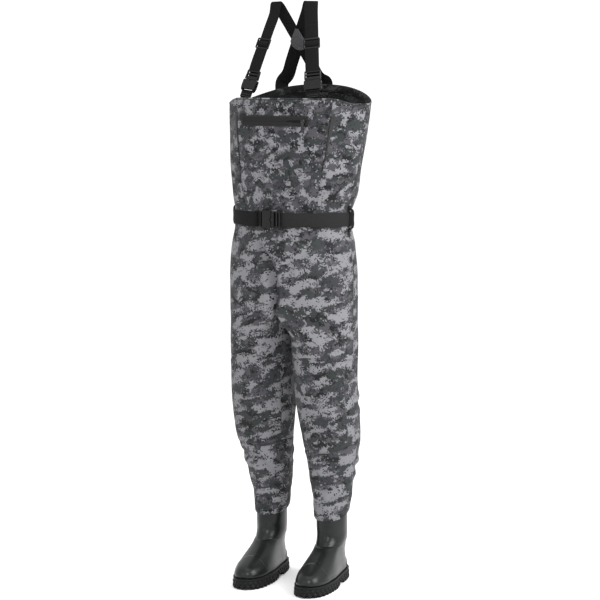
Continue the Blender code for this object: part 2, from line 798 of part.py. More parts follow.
def strap_face(side):
    return Vector((side * STRAP_FACE.x, STRAP_FACE.y, STRAP_FACE.z))


def strap_foot(side):
    """Where a strap's middle line crosses the front hem, just inside the bib."""
    x = side * ANCHOR_X
    return Vector((x, torso_y(x, HEM_FRONT_Z, -CLOTH - ANCHOR_GAP - WEBBING), HEM_FRONT_Z))


def on_strap(side, reach, out=0.0):
    """A point on a strap's straight front, reach along it from the hem and out from its middle."""
    rise, face = strap_rise(side), strap_face(side)
    normal = (face - face.dot(rise) * rise).normalized()
    return strap_foot(side) + rise * reach + normal * out


def back_line(side, share):
    """A point on a strap's straight back, from the shoulder (0) to the back hem (1)."""
    point = SHOULDER_TOP[side].lerp(BACK_ANCHOR[side], share)
    return point + BACK_NORMAL * YOKE_HALF_GAP * side


def make_suspender(side, word):
    face, rise = strap_face(side), strap_rise(side)
    x = side * ANCHOR_X
    inside = -CLOTH - ANCHOR_GAP - WEBBING
    anchor = [(x, torso_y(x, z, inside), z, *torso_normal(x, z)) for z in (1.325, 1.345)]
    for reach in (0.002, BUCKLE_START - CLEARANCE):
        anchor.append((*on_strap(side, reach), *face))
    mesh = ribbon_mesh("front_anchor", anchor, WEBBING_WIDTH, WEBBING)
    place(f"{word}_front_anchor", mesh, WEB)

    frame = facing(on_strap(side, BUCKLE_START, -BUCKLE_THICK / 2), rise, face)
    make_buckle(f"{word}_shoulder_buckle", frame, ("inner", "outer") if side > 0 else ("outer", "inner"))

    top = BUCKLE_START + BUCKLE_LENGTH + CLEARANCE
    loop = [(*on_strap(side, r, 0.0028), *face) for r in spread(top, SLIDER_START - CLEARANCE, 4)]
    place(f"{word}_adjust_loop", ribbon_mesh("adjust_loop", loop, WEBBING_WIDTH, WEBBING), WEB)

    slider_frame = facing(on_strap(side, SLIDER_START), rise, face)
    carrier = empty(f"{word}_strap_slider_axis", slider_frame)
    edge = rectangle(-0.0235, 0.0, 0.0235, 0.030)
    holes = [rectangle(-0.0200, y, 0.0200, y + 0.0085) for y in (0.0040, 0.0175)]
    mesh = plate_mesh("strap_slider", [edge, *holes], 0.0014, 0.0046)
    place(f"{word}_strap_slider", mesh, PLASTIC, carrier)

    stations = [(*on_strap(side, r), *face) for r in (top, 0.12, 0.16, 0.20, STRAIGHT_END)]
    stations.append((*SHOULDER_TOP[side], 0.0, 0.0, 1.0))
    stations += [(*back_line(side, s), *BACK_NORMAL) for s in (0.12, 0.26, 0.40, 0.55, 0.70, 0.85)]
    end = BACK_ANCHOR[side]
    normal = torso_normal(end.x, end.z, back=True)
    for z in (1.404, 1.378, 1.352):
        stations.append((end.x, torso_y(end.x, z, 0.0070, back=True), z, *normal))
    mesh = ribbon_mesh("shoulder_strap", through(stations, 34), WEBBING_WIDTH, WEBBING)
    place(f"{word}_shoulder_strap", mesh, WEB)


def make_yoke():
    """The leather teardrops that hold the straps where they cross at the back."""
    crossing = (back_line(1, YOKE_AT_SHARE) + back_line(-1, YOKE_AT_SHARE)) / 2
    down = (BACK_ANCHOR[1] + BACK_ANCHOR[-1] - SHOULDER_TOP[1] - SHOULDER_TOP[-1]) / 2
    frame = facing(crossing, -down, BACK_NORMAL)
    arc = [math.radians(a) for a in range(-190, 11, 20)]
    outline = [(0.024 * math.cos(a), -0.008 + 0.024 * math.sin(a)) for a in arc]
    outline += [(0.005, 0.036), (-0.005, 0.036)]
    for name, low in (("back_yoke_outer", 0.0026), ("back_yoke_inner", -0.0042)):
        place(name, plate_mesh(name, [outline], low, low + 0.0016, frame), LEATHER)


# ---------------------------------------------------------------- assembly

make_bib()
make_gusset()
for leg_side, leg_word in ((1, "left"), (-1, "right")):
    make_leg(leg_side, leg_word)
    make_handwarmer(leg_side, leg_word)
    make_suspender(leg_side, leg_word)
make_yoke()
make_chest_zip()
make_belt()
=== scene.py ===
"""Chest waders with boot feet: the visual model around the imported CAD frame.

Everything is drawn around the waist's vertical axis, as in the design, in metres: the waders
face -Y and their own left is +X. WAIST moves that axis to where the frame has it.
"""

import math

import bmesh
import bpy
import numpy as np
from mathutils import Matrix, Vector, noise


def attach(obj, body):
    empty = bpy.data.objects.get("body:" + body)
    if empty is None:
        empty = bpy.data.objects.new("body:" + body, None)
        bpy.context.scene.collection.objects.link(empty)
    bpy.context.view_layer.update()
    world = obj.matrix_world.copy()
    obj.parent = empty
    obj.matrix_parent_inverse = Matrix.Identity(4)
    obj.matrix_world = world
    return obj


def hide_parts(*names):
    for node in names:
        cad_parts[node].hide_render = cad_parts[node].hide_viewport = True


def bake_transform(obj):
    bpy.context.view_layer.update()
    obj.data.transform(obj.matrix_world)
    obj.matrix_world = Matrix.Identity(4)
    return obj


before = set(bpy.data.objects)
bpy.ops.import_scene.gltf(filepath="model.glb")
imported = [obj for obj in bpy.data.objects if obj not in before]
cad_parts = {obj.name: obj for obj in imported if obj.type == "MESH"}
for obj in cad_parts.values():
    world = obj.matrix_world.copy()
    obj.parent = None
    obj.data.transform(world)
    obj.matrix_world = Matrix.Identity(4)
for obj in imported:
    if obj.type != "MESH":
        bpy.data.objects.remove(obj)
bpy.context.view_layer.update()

WAIST = Vector((-0.00838, 0.00904, 0.0))
SIDES = ((1, "left"), (-1, "right"))

# Heights of the design
CROTCH_Z = 0.79
BELT_Z = 1.035
HEM_FRONT_Z = 1.365
HEM_SIDE_Z = 1.350
HEM_BACK_Z = 1.400
KNEE_TOP_Z = 0.645
KNEE_BOTTOM_Z = 0.400
CUFF_FRONT_Z = 0.178
CUFF_BACK_Z = 0.218
SOLE_TOP_Z = 0.030

CLOTH = 0.0016
WEBBING_WIDTH = 0.038
WEBBING = 0.0019

# Torso outline: height, half width, half depth, centre x, centre y, squareness
TORSO = (
    (0.79, 0.186, 0.122, 0.000, 0.005, 2.30),
    (0.88, 0.186, 0.122, 0.000, 0.004, 2.30),
    (0.97, 0.179, 0.113, 0.000, 0.002, 2.25),
    (1.008, 0.1725, 0.1010, 0.000, 0.000, 2.20),
    (1.020, 0.1720, 0.1005, 0.000, 0.000, 2.20),
    (1.050, 0.1720, 0.1005, 0.000, 0.000, 2.20),
    (1.062, 0.1725, 0.1010, 0.000, 0.000, 2.20),
    (1.10, 0.1815, 0.106, 0.0035, 0.002, 2.25),
    (1.20, 0.1940, 0.112, 0.0080, 0.008, 2.40),
    (1.30, 0.2030, 0.118, 0.0110, 0.015, 2.40),
    (1.41, 0.2090, 0.121, 0.0140, 0.022, 2.40),
)
# Left leg outline: height, centre x, centre y, half width, half depth
LEG = (
    (0.19, 0.0945, 0.055, 0.0490, 0.0545),
    (0.24, 0.0960, 0.054, 0.0525, 0.0575),
    (0.30, 0.0980, 0.052, 0.0630, 0.068),
    (0.40, 0.1050, 0.038, 0.0780, 0.084),
    (0.50, 0.1010, 0.022, 0.0865, 0.092),
    (0.62, 0.0980, 0.008, 0.0880, 0.100),
    (0.72, 0.0965, 0.005, 0.0890, 0.112),
    (0.79, 0.0935, 0.005, 0.0920, 0.120),
)
THIGH_ROUND_Z = 0.69
# Boot outline: height, toe y, heel y, half width, squareness
BOOT = (
    (0.026, -0.158, 0.123, 0.0465, 2.6),
    (0.045, -0.160, 0.126, 0.0485, 2.5),
    (0.058, -0.147, 0.125, 0.0465, 2.3),
    (0.070, -0.118, 0.124, 0.0440, 2.2),
    (0.085, -0.076, 0.121, 0.0415, 2.1),
    (0.100, -0.039, 0.117, 0.0400, 2.1),
    (0.115, -0.016, 0.1145, 0.0407, 2.0),
    (0.130, -0.004, 0.1125, 0.0416, 2.0),
    (0.160, 0.0015, 0.1095, 0.0422, 2.0),
    (0.200, 0.0050, 0.1045, 0.0430, 2.0),
    (0.250, 0.0080, 0.1030, 0.0430, 2.0),
)
BOOT_X = 0.0965
ANKLE_Y = 0.05
FOOT_TURN = math.radians(6)  # both feet point a little to the wearer's left

PRINCESS_TOP = math.radians(42)
PRINCESS_BOTTOM = math.radians(35)

# The shoulder straps, from their anchors inside the bib to the back hem
ANCHOR_X = 0.106
ANCHOR_GAP = 0.0016
STRAP_RISE = Vector((-0.19, 0.3305, 0.925)).normalized()
STRAP_FACE = Vector((0.24, -0.97, 0.0))
BACK_NORMAL = Vector((0.0, 1.0, 0.557)).normalized()
SHOULDER_TOP = {1: Vector((0.0500, 0.012, 1.628)), -1: Vector((-0.0560, 0.012, 1.628))}
BACK_ANCHOR = {1: Vector((-0.104, 0.1445, 1.390)), -1: Vector((0.030, 0.1445, 1.390))}
YOKE_HALF_GAP = 0.00115
YOKE_AT_SHARE = 0.435
BUCKLE_START = 0.018
SLIDER_START = 0.144
STRAIGHT_END = 0.250
BACK_STRAP_OUT = 0.0070
CAD_CLOTH = 0.003
CAD_CLEARANCE = 0.0005
CAD_WEBBING = 0.002
ANCHOR_INSIDE = -CAD_CLOTH - ANCHOR_GAP - CAD_WEBBING

BUCKLE_LENGTH = 0.062
BUCKLE_WIDTH = 0.048
BUCKLE_THICK = 0.012
SOCKET_LENGTH = 0.034
BELT_BUCKLE_X = -0.043

ZIP_Z = 1.303
ZIP_RADIUS = 0.55
ZIP_HALF_HEIGHT = 0.014
ZIP_ENDS = (-0.108, 0.095)


# ---------------------------------------------------------------- materials


class Nodes:
    """A material's node tree, with short ways to add and join nodes."""

    def __init__(self, name, roughness=0.6, **sockets):
        self.material = bpy.data.materials.new(name)
        self.material.use_nodes = True
        self.tree = self.material.node_tree
        self.shader = self.tree.nodes["Principled BSDF"]
        self.shader.inputs["Roughness"].default_value = roughness
        for socket, value in sockets.items():
            self.shader.inputs[socket.replace("_", " ")].default_value = value

    def feed(self, socket, value):
        """Link a socket to another one's value, or give it a fixed one."""
        if isinstance(value, bpy.types.NodeSocket):
            self.tree.links.new(value, socket)
        else:
            socket.default_value = value

    def add(self, kind, inputs=None, **settings):
        node = self.tree.nodes.new("ShaderNode" + kind)
        for key, value in settings.items():
            setattr(node, key, value)
        for key, value in (inputs or {}).items():
            self.feed(node.inputs[key], value)
        return node

    def math(self, operation, *values):
        return self.add("Math", dict(enumerate(values)), operation=operation).outputs[0]

    def mix(self, share, first, second):
        node = self.add("Mix", {0: share}, data_type="RGBA", blend_type="MIX")
        for index, colour in ((6, first), (7, second)):
            fixed = isinstance(colour, (tuple, list))
            self.feed(node.inputs[index], (*colour, 1.0) if fixed else colour)
        return node.outputs[2]

    def noise(self, vector, scale, detail=2.0, roughness=0.5, distortion=0.0):
        inputs = {
            "Vector": vector,
            "Scale": scale,
            "Detail": detail,
            "Roughness": roughness,
            "Distortion": distortion,
        }
        return self.add("TexNoise", inputs).outputs["Fac"]

    def step(self, value, low, high):
        """0 below low and 1 above high, with a smooth slope between."""
        inputs = {"Value": value, "From Min": low, "From Max": high}
        return self.add("MapRange", inputs, interpolation_type="SMOOTHSTEP").outputs["Result"]

    def mapped(self, vector, scale=(1, 1, 1), location=(0, 0, 0)):
        inputs = {"Vector": vector, "Scale": scale, "Location": location}
        return self.add("Mapping", inputs).outputs["Vector"]

    def uv(self):
        return self.add("UVMap", uv_map="UVMap").outputs["UV"]

    def place(self):
        return self.add("TexCoord").outputs["Object"]

    def colour(self, value):
        self.feed(self.shader.inputs["Base Color"], value)

    def roughness(self, value):
        self.feed(self.shader.inputs["Roughness"], value)

    def bump(self, height, strength, distance):
        inputs = {"Height": height, "Strength": strength, "Distance": distance}
        self.feed(self.shader.inputs["Normal"], self.add("Bump", inputs).outputs["Normal"])


def grey(level):
    return (level,) * 3


CAMO_BLOCK = 0.0032
# Dark, slate, green, purple, pale and dust
CAMO_TONES = (
    (0.0058, 0.0059, 0.0066),
    (0.026, 0.0265, 0.030),
    (0.020, 0.0235, 0.0235),
    (0.049, 0.0465, 0.053),
    (0.160, 0.159, 0.170),
    (0.11, 0.11, 0.115),
)


def camo_material(name, offset=(0.0, 0.0, 0.0), shade=1.0, cover=0.0, stretch=0.50):
    """Printed block camouflage: ragged blots on a fine square grid, over a plain weave.

    cover adds to the share of pale cloth, and stretch below 1 draws the pale blots out sideways.
    """
    n = Nodes(name, roughness=0.78, Specular_IOR_Level=0.16, Sheen_Weight=0.03, Sheen_Roughness=0.5)
    tones = [tuple(c * shade for c in tone) for tone in CAMO_TONES]
    dark, slate, green, purple, pale, dust = tones
    uv = n.uv()
    snapped = n.add("VectorMath", {0: uv, 1: (CAMO_BLOCK,) * 3}, operation="SNAP").outputs[0]
    cells = n.mapped(snapped, location=offset)
    wide = n.mapped(cells, (0.62, 1.0, 1.0))

    def speckle(seed):
        inputs = {"Vector": n.mapped(cells, location=(seed, seed, 0))}
        return n.add("TexWhiteNoise", inputs, noise_dimensions="3D").outputs["Value"]

    def blot(scale, detail, seed, ragged, grid=wide):
        """A noise field whose edges are broken up block by block."""
        field = n.noise(n.mapped(grid, location=(seed, -seed, seed)), scale, detail, 0.55, 0.25)
        jitter = n.math("MULTIPLY", n.math("SUBTRACT", speckle(seed), 0.5), ragged)
        return n.math("ADD", field, jitter)

    def single_blocks(seed, above, scale, field_seed, low, high):
        """Blocks chosen one by one, where a slow field allows them."""
        chosen = n.math("GREATER_THAN", speckle(seed), above)
        return n.math("MULTIPLY", chosen, n.step(blot(scale, 2.0, field_seed, 0.0), low, high))

    base = n.mix(n.step(blot(32, 1.5, 3.1, 0.06), 0.48, 0.50), slate, green)
    base = n.mix(n.step(blot(34, 2.0, 7.7, 0.09), 0.535, 0.55), base, purple)
    base = n.mix(n.step(blot(44, 2.5, 12.3, 0.10), 0.570, 0.585), base, dark)
    light = blot(38, 2.7, 21.9, 0.105, n.mapped(cells, (stretch, 1.0, 1.0)))
    light = n.math("ADD", light, cover)
    rim = tuple(0.4 * p + 0.6 * q for p, q in zip(pale, purple))
    base = n.mix(n.step(light, 0.545, 0.557), base, rim)
    base = n.mix(n.step(light, 0.570, 0.580), base, pale)
    base = n.mix(single_blocks(5.5, 0.90, 60, 40.2, 0.42, 0.55), base, dark)
    bright = tuple(0.9 * p for p in pale)
    base = n.mix(single_blocks(9.5, 0.96, 50, 31.2, 0.5, 0.6), base, bright)
    faded = n.noise(n.place(), 6.0, 3.0)
    n.colour(n.mix(n.step(faded, 0.35, 0.75), base, n.mix(0.08, base, dust)))
    n.bump(weave_height(n, uv, 0.0011), 0.35, 0.0004)
    n.roughness(n.math("ADD", 0.70, n.math("MULTIPLY", faded, 0.16)))
    return n.material


def weave_height(n, uv, pitch):
    """The over-and-under height of a plain weave."""
    turns = n.mapped(uv, (2 * math.pi / pitch, 2 * math.pi / pitch, 1.0))
    parts = n.add("SeparateXYZ", {0: turns})
    return n.math("MULTIPLY", *(n.math("SINE", parts.outputs[k]) for k in (0, 1)))


def webbing_material(name, level, rib=0.0022):
    """Ribbed polyester webbing: ribs run across it, and fine yarns along it, with painted shade in
    their hollows.
    """
    yarn = 0.0016
    n = Nodes(name, roughness=0.75, Specular_IOR_Level=0.10)
    uv = n.uv()
    parts = n.add("SeparateXYZ", {0: uv})
    ribs = n.math("SINE", n.math("MULTIPLY", parts.outputs[0], 2 * math.pi / rib))
    yarns = n.math("MULTIPLY", parts.outputs[1], 2 * math.pi / yarn)
    yarns = n.math("SINE", n.math("ADD", yarns, n.math("MULTIPLY", ribs, 0.25)))
    height = n.math("ADD", n.math("MULTIPLY", ribs, 0.6), n.math("MULTIPLY", yarns, 0.5))
    # Colour follows the weave's height: painted shade in the hollows, lighter on the tops
    high = (level * 1.45, level * 1.45, level * 1.5)
    tone = n.mix(n.step(height, -0.9, 0.9), grey(level * 0.65), high)
    worn = n.math("MULTIPLY", n.noise(uv, 90.0, 4.0), 0.3)
    n.colour(n.mix(worn, tone, grey(level * 2.2)))
    n.bump(height, 0.6, 0.0004)
    return n.material


def plastic_material(name, level=0.007, roughness=0.36):
    """Moulded acetal with a fine spark-eroded grain and a little wear."""
    n = Nodes(name, roughness=roughness, Specular_IOR_Level=0.20)
    place = n.place()
    grain = n.noise(place, 2600.0, 2.0)
    wear = n.noise(place, 120.0, 5.0)
    n.colour(n.mix(n.step(wear, 0.55, 0.8), grey(level), grey(level * 2.2)))
    n.roughness(n.math("ADD", roughness - 0.06, n.math("MULTIPLY", wear, 0.16)))
    n.bump(grain, 0.12, 0.0002)
    return n.material


def rubber_material(name, colour, roughness, grain=0.05, gloss=0.30):
    """Moulded boot rubber: nearly smooth, with soft mottling and faint scuffs."""
    coat = {"Coat_Weight": 0.02, "Coat_Roughness": 0.12}
    n = Nodes(name, roughness=roughness, Specular_IOR_Level=gloss, **coat)
    place = n.place()
    mottle = n.step(n.noise(place, 14.0, 5.0), 0.35, 0.7)
    scuff = n.noise(n.mapped(place, (30.0, 30.0, 160.0)), 1.0, 6.0, 0.65)
    tone = n.mix(mottle, colour, tuple(c * 1.35 for c in colour))
    scuffed = n.math("MULTIPLY", n.step(scuff, 0.62, 0.8), 0.35)
    n.colour(n.mix(scuffed, tone, tuple(c * 2.0 for c in colour)))
    n.roughness(n.math("ADD", roughness - 0.05, n.math("MULTIPLY", scuff, 0.18)))
    n.bump(n.noise(place, 900.0, 3.0), grain, 0.0003)
    return n.material


def leather_material(name):
    n = Nodes(name, roughness=0.55, Specular_IOR_Level=0.4)
    place = n.place()
    pores = n.add("TexVoronoi", {"Vector": place, "Scale": 620.0}, feature="F1")
    creases = n.noise(place, 260.0, 6.0, 0.7)
    tone = n.mix(n.step(creases, 0.3, 0.7), (0.033, 0.033, 0.035), (0.070, 0.070, 0.074))
    n.colour(tone)
    deep = n.math("ADD", pores.outputs["Distance"], n.math("MULTIPLY", creases, 0.8))
    n.bump(deep, 0.5, 0.0005)
    return n.material


def lining_material(name, level=0.010):
    n = Nodes(name, roughness=0.9, Specular_IOR_Level=0.2, Sheen_Weight=0.1)
    place = n.place()
    tone = n.noise(place, 40.0, 4.0)
    n.colour(n.mix(tone, grey(level * 0.7), grey(level * 1.6)))
    n.bump(n.noise(place, 1400.0, 2.0), 0.3, 0.0003)
    return n.material


def metal_material(name):
    n = Nodes(name, roughness=0.38, Metallic=0.75)
    wear = n.noise(n.place(), 420.0, 4.0)
    n.colour(n.mix(n.step(wear, 0.5, 0.75), (0.02, 0.02, 0.021), (0.09, 0.09, 0.09)))
    n.roughness(n.math("ADD", 0.30, n.math("MULTIPLY", wear, 0.2)))
    return n.material


def thread_material(name, level):
    n = Nodes(name, roughness=0.65, Sheen_Weight=0.1)
    twist = n.noise(n.place(), 2200.0, 2.0)
    n.colour(n.mix(twist, grey(level * 0.6), grey(level * 1.4)))
    return n.material


def floor_material():
    n = Nodes("studio_floor", roughness=0.9, Specular_IOR_Level=0.1)
    tone = n.noise(n.place(), 3.0, 2.0)
    n.colour(n.mix(tone, grey(0.93), grey(0.95)))
    return n.material


CAMO = camo_material("camo_cloth", (0.0, 0.0, 0.0), 1.0, 0.005, 0.85)
CAMO_LEG = camo_material("camo_leg_cloth", (0.11, 0.27, 0.0), 1.0, 0.032)
CAMO_PATCH = camo_material("camo_patch", (0.37, 0.81, 0.0), 0.94, 0.020)
# The cloth's inside: a dark lining with the print faint, the camo at a fifth of its brightness,
# which is also painted shade inside the waders
SHADED_LINING = camo_material("shaded_dark_lining", (0.21, 0.53, 0.0), 0.20)
POCKET = lining_material("pocket_cloth", 0.014)
WEB = webbing_material("strap_webbing", 0.0030)
BELT_WEB = webbing_material("belt_webbing", 0.0115, 0.0016)
# The belt's tail: the belt webbing darkened, as painted shade on the doubled end
SHADED_TAIL_WEB = webbing_material("belt_tail_webbing", 0.0052, 0.0016)
PLASTIC = plastic_material("buckle_plastic", 0.0042)
TAPE = plastic_material("coated_tape", 0.0045, 0.48)
LEATHER = leather_material("yoke_leather")
RUBBER = rubber_material("boot_rubber", (0.0060, 0.0068, 0.0070), 0.27, 0.03, 0.22)
SOLE = rubber_material("outsole_rubber", (0.0030, 0.0033, 0.0033), 0.58, 0.3, 0.16)
FELT = lining_material("insole_felt", 0.05)
METAL = metal_material("zip_metal")
THREAD = thread_material("black_thread", 0.012)
GREY_THREAD = thread_material("grey_thread", 0.09)
WELT = lining_material("welt_cloth", 0.022)


# ---------------------------------------------------------------- shapes


class Table:
    """Rows of values by height, read from a smooth curve through them."""

    def __init__(self, rows):
        known = np.array(rows, float)
        self.heights = known[:, 0]
        self.values = known[:, 1:]
        self.slopes = np.gradient(self.values, self.heights, axis=0)

    def at(self, z):
        heights = self.heights
        z = min(max(z, heights[0]), heights[-1])
        i = min(int(np.searchsorted(heights, z, side="right")) - 1, len(heights) - 2)
        span = heights[i + 1] - heights[i]
        t = (z - heights[i]) / span
        a = (1 + 2 * t) * (1 - t) ** 2
        b = t * (1 - t) ** 2 * span
        c = t * t * (3 - 2 * t)
        d = t * t * (t - 1) * span
        low, high = self.values[i], self.values[i + 1]
        return a * low + b * self.slopes[i] + c * high + d * self.slopes[i + 1]


TORSO_TABLE = Table(TORSO)
LEG_TABLE = Table(LEG)
BOOT_TABLE = Table(BOOT)


def smoothstep(x):
    x = min(max(x, 0.0), 1.0)
    return x * x * (3 - 2 * x)


def mound(distance, width):
    """1 where distance is 0, and near 0 from two widths away."""
    return math.exp(-((distance / width) ** 2))


def signed_power(value, exponent):
    return math.copysign(abs(value) ** exponent, value)


def spread(low, high, count):
    return [low + (high - low) * i / (count - 1) for i in range(count)]


def torso_point(angle, z, out=0.0):
    half_width, half_depth, cx, cy, square = TORSO_TABLE.at(z)
    x = cx + (half_width + out) * signed_power(math.sin(angle), 2 / square)
    y = cy - (half_depth + out) * signed_power(math.cos(angle), 2 / square)
    return Vector((x, y, z))


def torso_y(x, z, out=0.0, back=False):
    half_width, half_depth, cx, cy, square = TORSO_TABLE.at(z)
    share = 1 - (abs(x - cx) / (half_width + out)) ** square
    depth = (half_depth + out) * share ** (1 / square)
    return cy + depth if back else cy - depth


def torso_normal(x, z, back=False):
    step = 0.01
    slope = (torso_y(x + step, z, back=back) - torso_y(x - step, z, back=back)) / (2 * step)
    return Vector((-slope, 1.0, 0.0)) if back else Vector((slope, -1.0, 0.0))


def hem_z(angle):
    front = 1 - smoothstep((abs(math.degrees(angle)) - 38) / 32)
    back = max(-math.cos(angle), 0.0) ** 1.9
    return HEM_SIDE_Z + (HEM_FRONT_Z - HEM_SIDE_Z) * front + (HEM_BACK_Z - HEM_SIDE_Z) * back


def cuff_z(turn):
    behind = (1 - math.cos(2 * math.pi * turn)) / 2
    return CUFF_FRONT_Z + (CUFF_BACK_Z - CUFF_FRONT_Z) * behind**1.3


def leg_point(side, turn, z, out=0.0):
    """A point on a leg: turn 0 is in front, 0.25 outside, 0.5 behind, 0.75 inside."""
    angle = 2 * math.pi * turn
    trunk = torso_point(angle, max(z, CROTCH_Z), out)
    if turn % 1.0 > 0.5:
        trunk.x = 0.0
    trunk.x = max(trunk.x, 0.0)
    cx, cy, half_width, half_depth = LEG_TABLE.at(z)
    x = cx + (half_width + out) * math.sin(angle)
    y = cy - (half_depth + out) * math.cos(angle)
    share = smoothstep((CROTCH_Z - z) / (CROTCH_Z - THIGH_ROUND_Z))
    return Vector((side * (trunk.x + (x - trunk.x) * share), trunk.y + (y - trunk.y) * share, z))


def boot_local(turn, z, out=0.0):
    """A point on a boot, x outward from its middle.

    Turn 0 is the toe, 0.25 the outer side, 0.5 the heel and 0.75 the inner side.
    """
    toe, heel, half_width, square = BOOT_TABLE.at(z)
    angle = 2 * math.pi * turn
    middle, half_length = (toe + heel) / 2, (heel - toe) / 2 + out
    y = middle - half_length * signed_power(math.cos(angle), 2 / square)
    foot = 1 - smoothstep((z - 0.08) / 0.05)
    waist = 1 - 0.14 * foot * smoothstep((y + 0.06) / 0.10)
    x = (half_width * waist + out) * signed_power(math.sin(angle), 2 / square)
    return Vector((x, y, z))


def planted(side, point):
    """Where a boot's point stands on its side of the waders."""
    from_ankle = Vector((side * point.x, point.y - ANKLE_Y, point.z))
    turned = Matrix.Rotation(FOOT_TURN, 3, "Z") @ from_ankle
    return turned + Vector((side * BOOT_X, ANKLE_Y, 0.0))


def through(points, count):
    """count points on a smooth curve through the given ones, each of any number of values."""
    known = np.array([list(p) for p in points])
    steps = np.linalg.norm(np.diff(known[:, :3], axis=0), axis=1)
    reach = np.concatenate([[0.0], np.cumsum(steps)])
    table = Table([(r, *p) for r, p in zip(reach, known)])
    return [table.at(r) for r in spread(0.0, reach[-1], count)]


def squared(normal, along):
    """The part of a direction that is square to along, one metre long."""
    return (normal - normal.dot(along) * along).normalized()


def facing(origin, along, normal):
    """A frame at origin with y along the strap and z out of its face."""
    along = along.normalized()
    normal = squared(normal, along)
    turned = Matrix((along.cross(normal), along, normal)).transposed().to_4x4()
    return Matrix.Translation(origin) @ turned


def slanted(u, v, slant):
    """A flat place turned by the printed pattern's slant."""
    return u * math.cos(slant) + v * math.sin(slant), v * math.cos(slant) - u * math.sin(slant)


# ---------------------------------------------------------------- objects


SHARP_ANGLE = math.radians(35)


def add_object(name, data):
    """A new object in the scene."""
    made = bpy.data.objects.new(name, data)
    bpy.context.scene.collection.objects.link(made)
    return made


def new_piece(name, vertices, faces, finishes, uvs=None):
    """A smooth mesh object from lists. uvs holds one (u, v) per vertex."""
    mesh = bpy.data.meshes.new(name)
    mesh.from_pydata([tuple(v) for v in vertices], [], [tuple(f) for f in faces])
    for finish in finishes if isinstance(finishes, (list, tuple)) else [finishes]:
        mesh.materials.append(finish)
    if uvs is not None:
        layer = mesh.uv_layers.new(name="UVMap")
        corners = np.zeros(len(mesh.loops), int)
        mesh.loops.foreach_get("vertex_index", corners)
        layer.data.foreach_set("uv", np.asarray(uvs, float)[corners].ravel())
    mesh.validate()
    mesh.shade_smooth()
    return add_object(name, mesh)


def settle(piece, body, nodes=(), towards=None):
    """Put a piece in the frame: on its body, and in place of its CAD nodes.

    It is drawn round the waist's axis, and moved to where the frame has that axis. towards is
    (body, start, end); with it the piece stays on no body and doesn't bend, and its values are not
    used.
    """
    piece.data.transform(Matrix.Translation(WAIST))
    if towards:
        other, *ends = towards
        start, end = (tuple(WAIST + Vector(end)) for end in ends)
        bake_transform(piece)
    else:
        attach(piece, body)
    if nodes:
        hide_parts(*nodes)
    return piece


def evaluated_mesh(piece):
    """What a piece's modifiers, or a curve's own settings, make of it."""
    bpy.context.view_layer.update()
    depsgraph = bpy.context.evaluated_depsgraph_get()
    return bpy.data.meshes.new_from_object(piece.evaluated_get(depsgraph))


def bake_modifiers(piece):
    """Replace a piece's mesh by what its modifiers make."""
    made = evaluated_mesh(piece)
    piece.modifiers.clear()
    piece.data = made


def bevel(piece, width, segments=3):
    """Round a hard piece's edges, and keep its flat faces flat."""
    weld = piece.modifiers.new("weld", "WELD")
    weld.merge_threshold = 0.00001
    rounding = piece.modifiers.new("rounding", "BEVEL")
    rounding.width = width
    rounding.segments = segments
    rounding.limit_method = "ANGLE"
    rounding.angle_limit = SHARP_ANGLE
    rounding.harden_normals = True
    bake_modifiers(piece)


def tube_faces(rows, count, base=0):
    """The quads between rows of count vertices, each row closed."""
    faces = []
    for j in range(rows - 1):
        for i in range(count):
            a, b = base + j * count + i, base + j * count + (i + 1) % count
            faces.append((a, b, b + count, a + count))
    return faces


def loft(name, rings, finish, closed_ends=True, uvs=None, flip=False):
    """A surface through rings of points, each ring closed."""
    count = len(rings[0])
    vertices = [p for ring in rings for p in ring]
    faces = tube_faces(len(rings), count)
    if closed_ends:
        faces.append(tuple(reversed(range(count))))
        faces.append(tuple(range(len(vertices) - count, len(vertices))))
    if flip:
        faces = [face[::-1] for face in faces]
    return new_piece(name, vertices, faces, finish, uvs)


def strap(name, stations, width, thickness, finish, count=None):
    """Flat webbing with rounded edges, carried along stations of (x, y, z, normal x, y, z)."""
    path = through(stations, count) if count else [np.array(s, float) for s in stations]
    centres = [Vector(s[:3]) for s in path]
    half, rim = width / 2, thickness / 2
    section = []
    for start in (-90, 90):
        for k in range(5):
            turn = math.radians(start + 45 * k)
            sign = 1 if start < 0 else -1
            section.append((sign * (half - rim) + rim * math.cos(turn), rim * math.sin(turn)))
    rings, uvs, reach = [], [], 0.0
    for i, station in enumerate(path):
        along = (centres[min(i + 1, len(centres) - 1)] - centres[max(i - 1, 0)]).normalized()
        normal = squared(Vector(station[3:6]), along)
        across = along.cross(normal)
        if i:
            reach += (centres[i] - centres[i - 1]).length
        rings.append([centres[i] + across * a + normal * b for a, b in section])
        uvs += [(reach, a) for a, _ in section]
    return loft(name, rings, finish, uvs=uvs)


def plate(name, outlines, low, high, finish, rounding=0.0):
    """A flat plate from z low to high. The first outline is its edge and the others are holes."""
    curve = bpy.data.curves.new(name, "CURVE")
    curve.dimensions = "2D"
    curve.fill_mode = "BOTH"
    curve.extrude = (high - low) / 2
    for outline in outlines:
        spline = curve.splines.new("POLY")
        spline.points.add(len(outline) - 1)
        for point, (x, y) in zip(spline.points, outline):
            point.co = (x, y, 0.0, 1.0)
        spline.use_cyclic_u = True
    guide = add_object(name, curve)
    mesh = evaluated_mesh(guide)
    bpy.data.objects.remove(guide)
    bm = bmesh.new()
    bm.from_mesh(mesh)
    bmesh.ops.remove_doubles(bm, verts=bm.verts, dist=1e-6)
    bmesh.ops.dissolve_limit(bm, angle_limit=0.01, verts=bm.verts, edges=bm.edges)
    bmesh.ops.recalc_face_normals(bm, faces=bm.faces)
    bm.to_mesh(mesh)
    bm.free()
    mesh.transform(Matrix.Translation((0.0, 0.0, (low + high) / 2)))
    mesh.materials.clear()
    mesh.materials.append(finish)
    mesh.shade_smooth()
    piece = add_object(name, mesh)
    if rounding:
        bevel(piece, rounding)
    else:
        mesh.set_sharp_from_angle(angle=SHARP_ANGLE)
    return piece


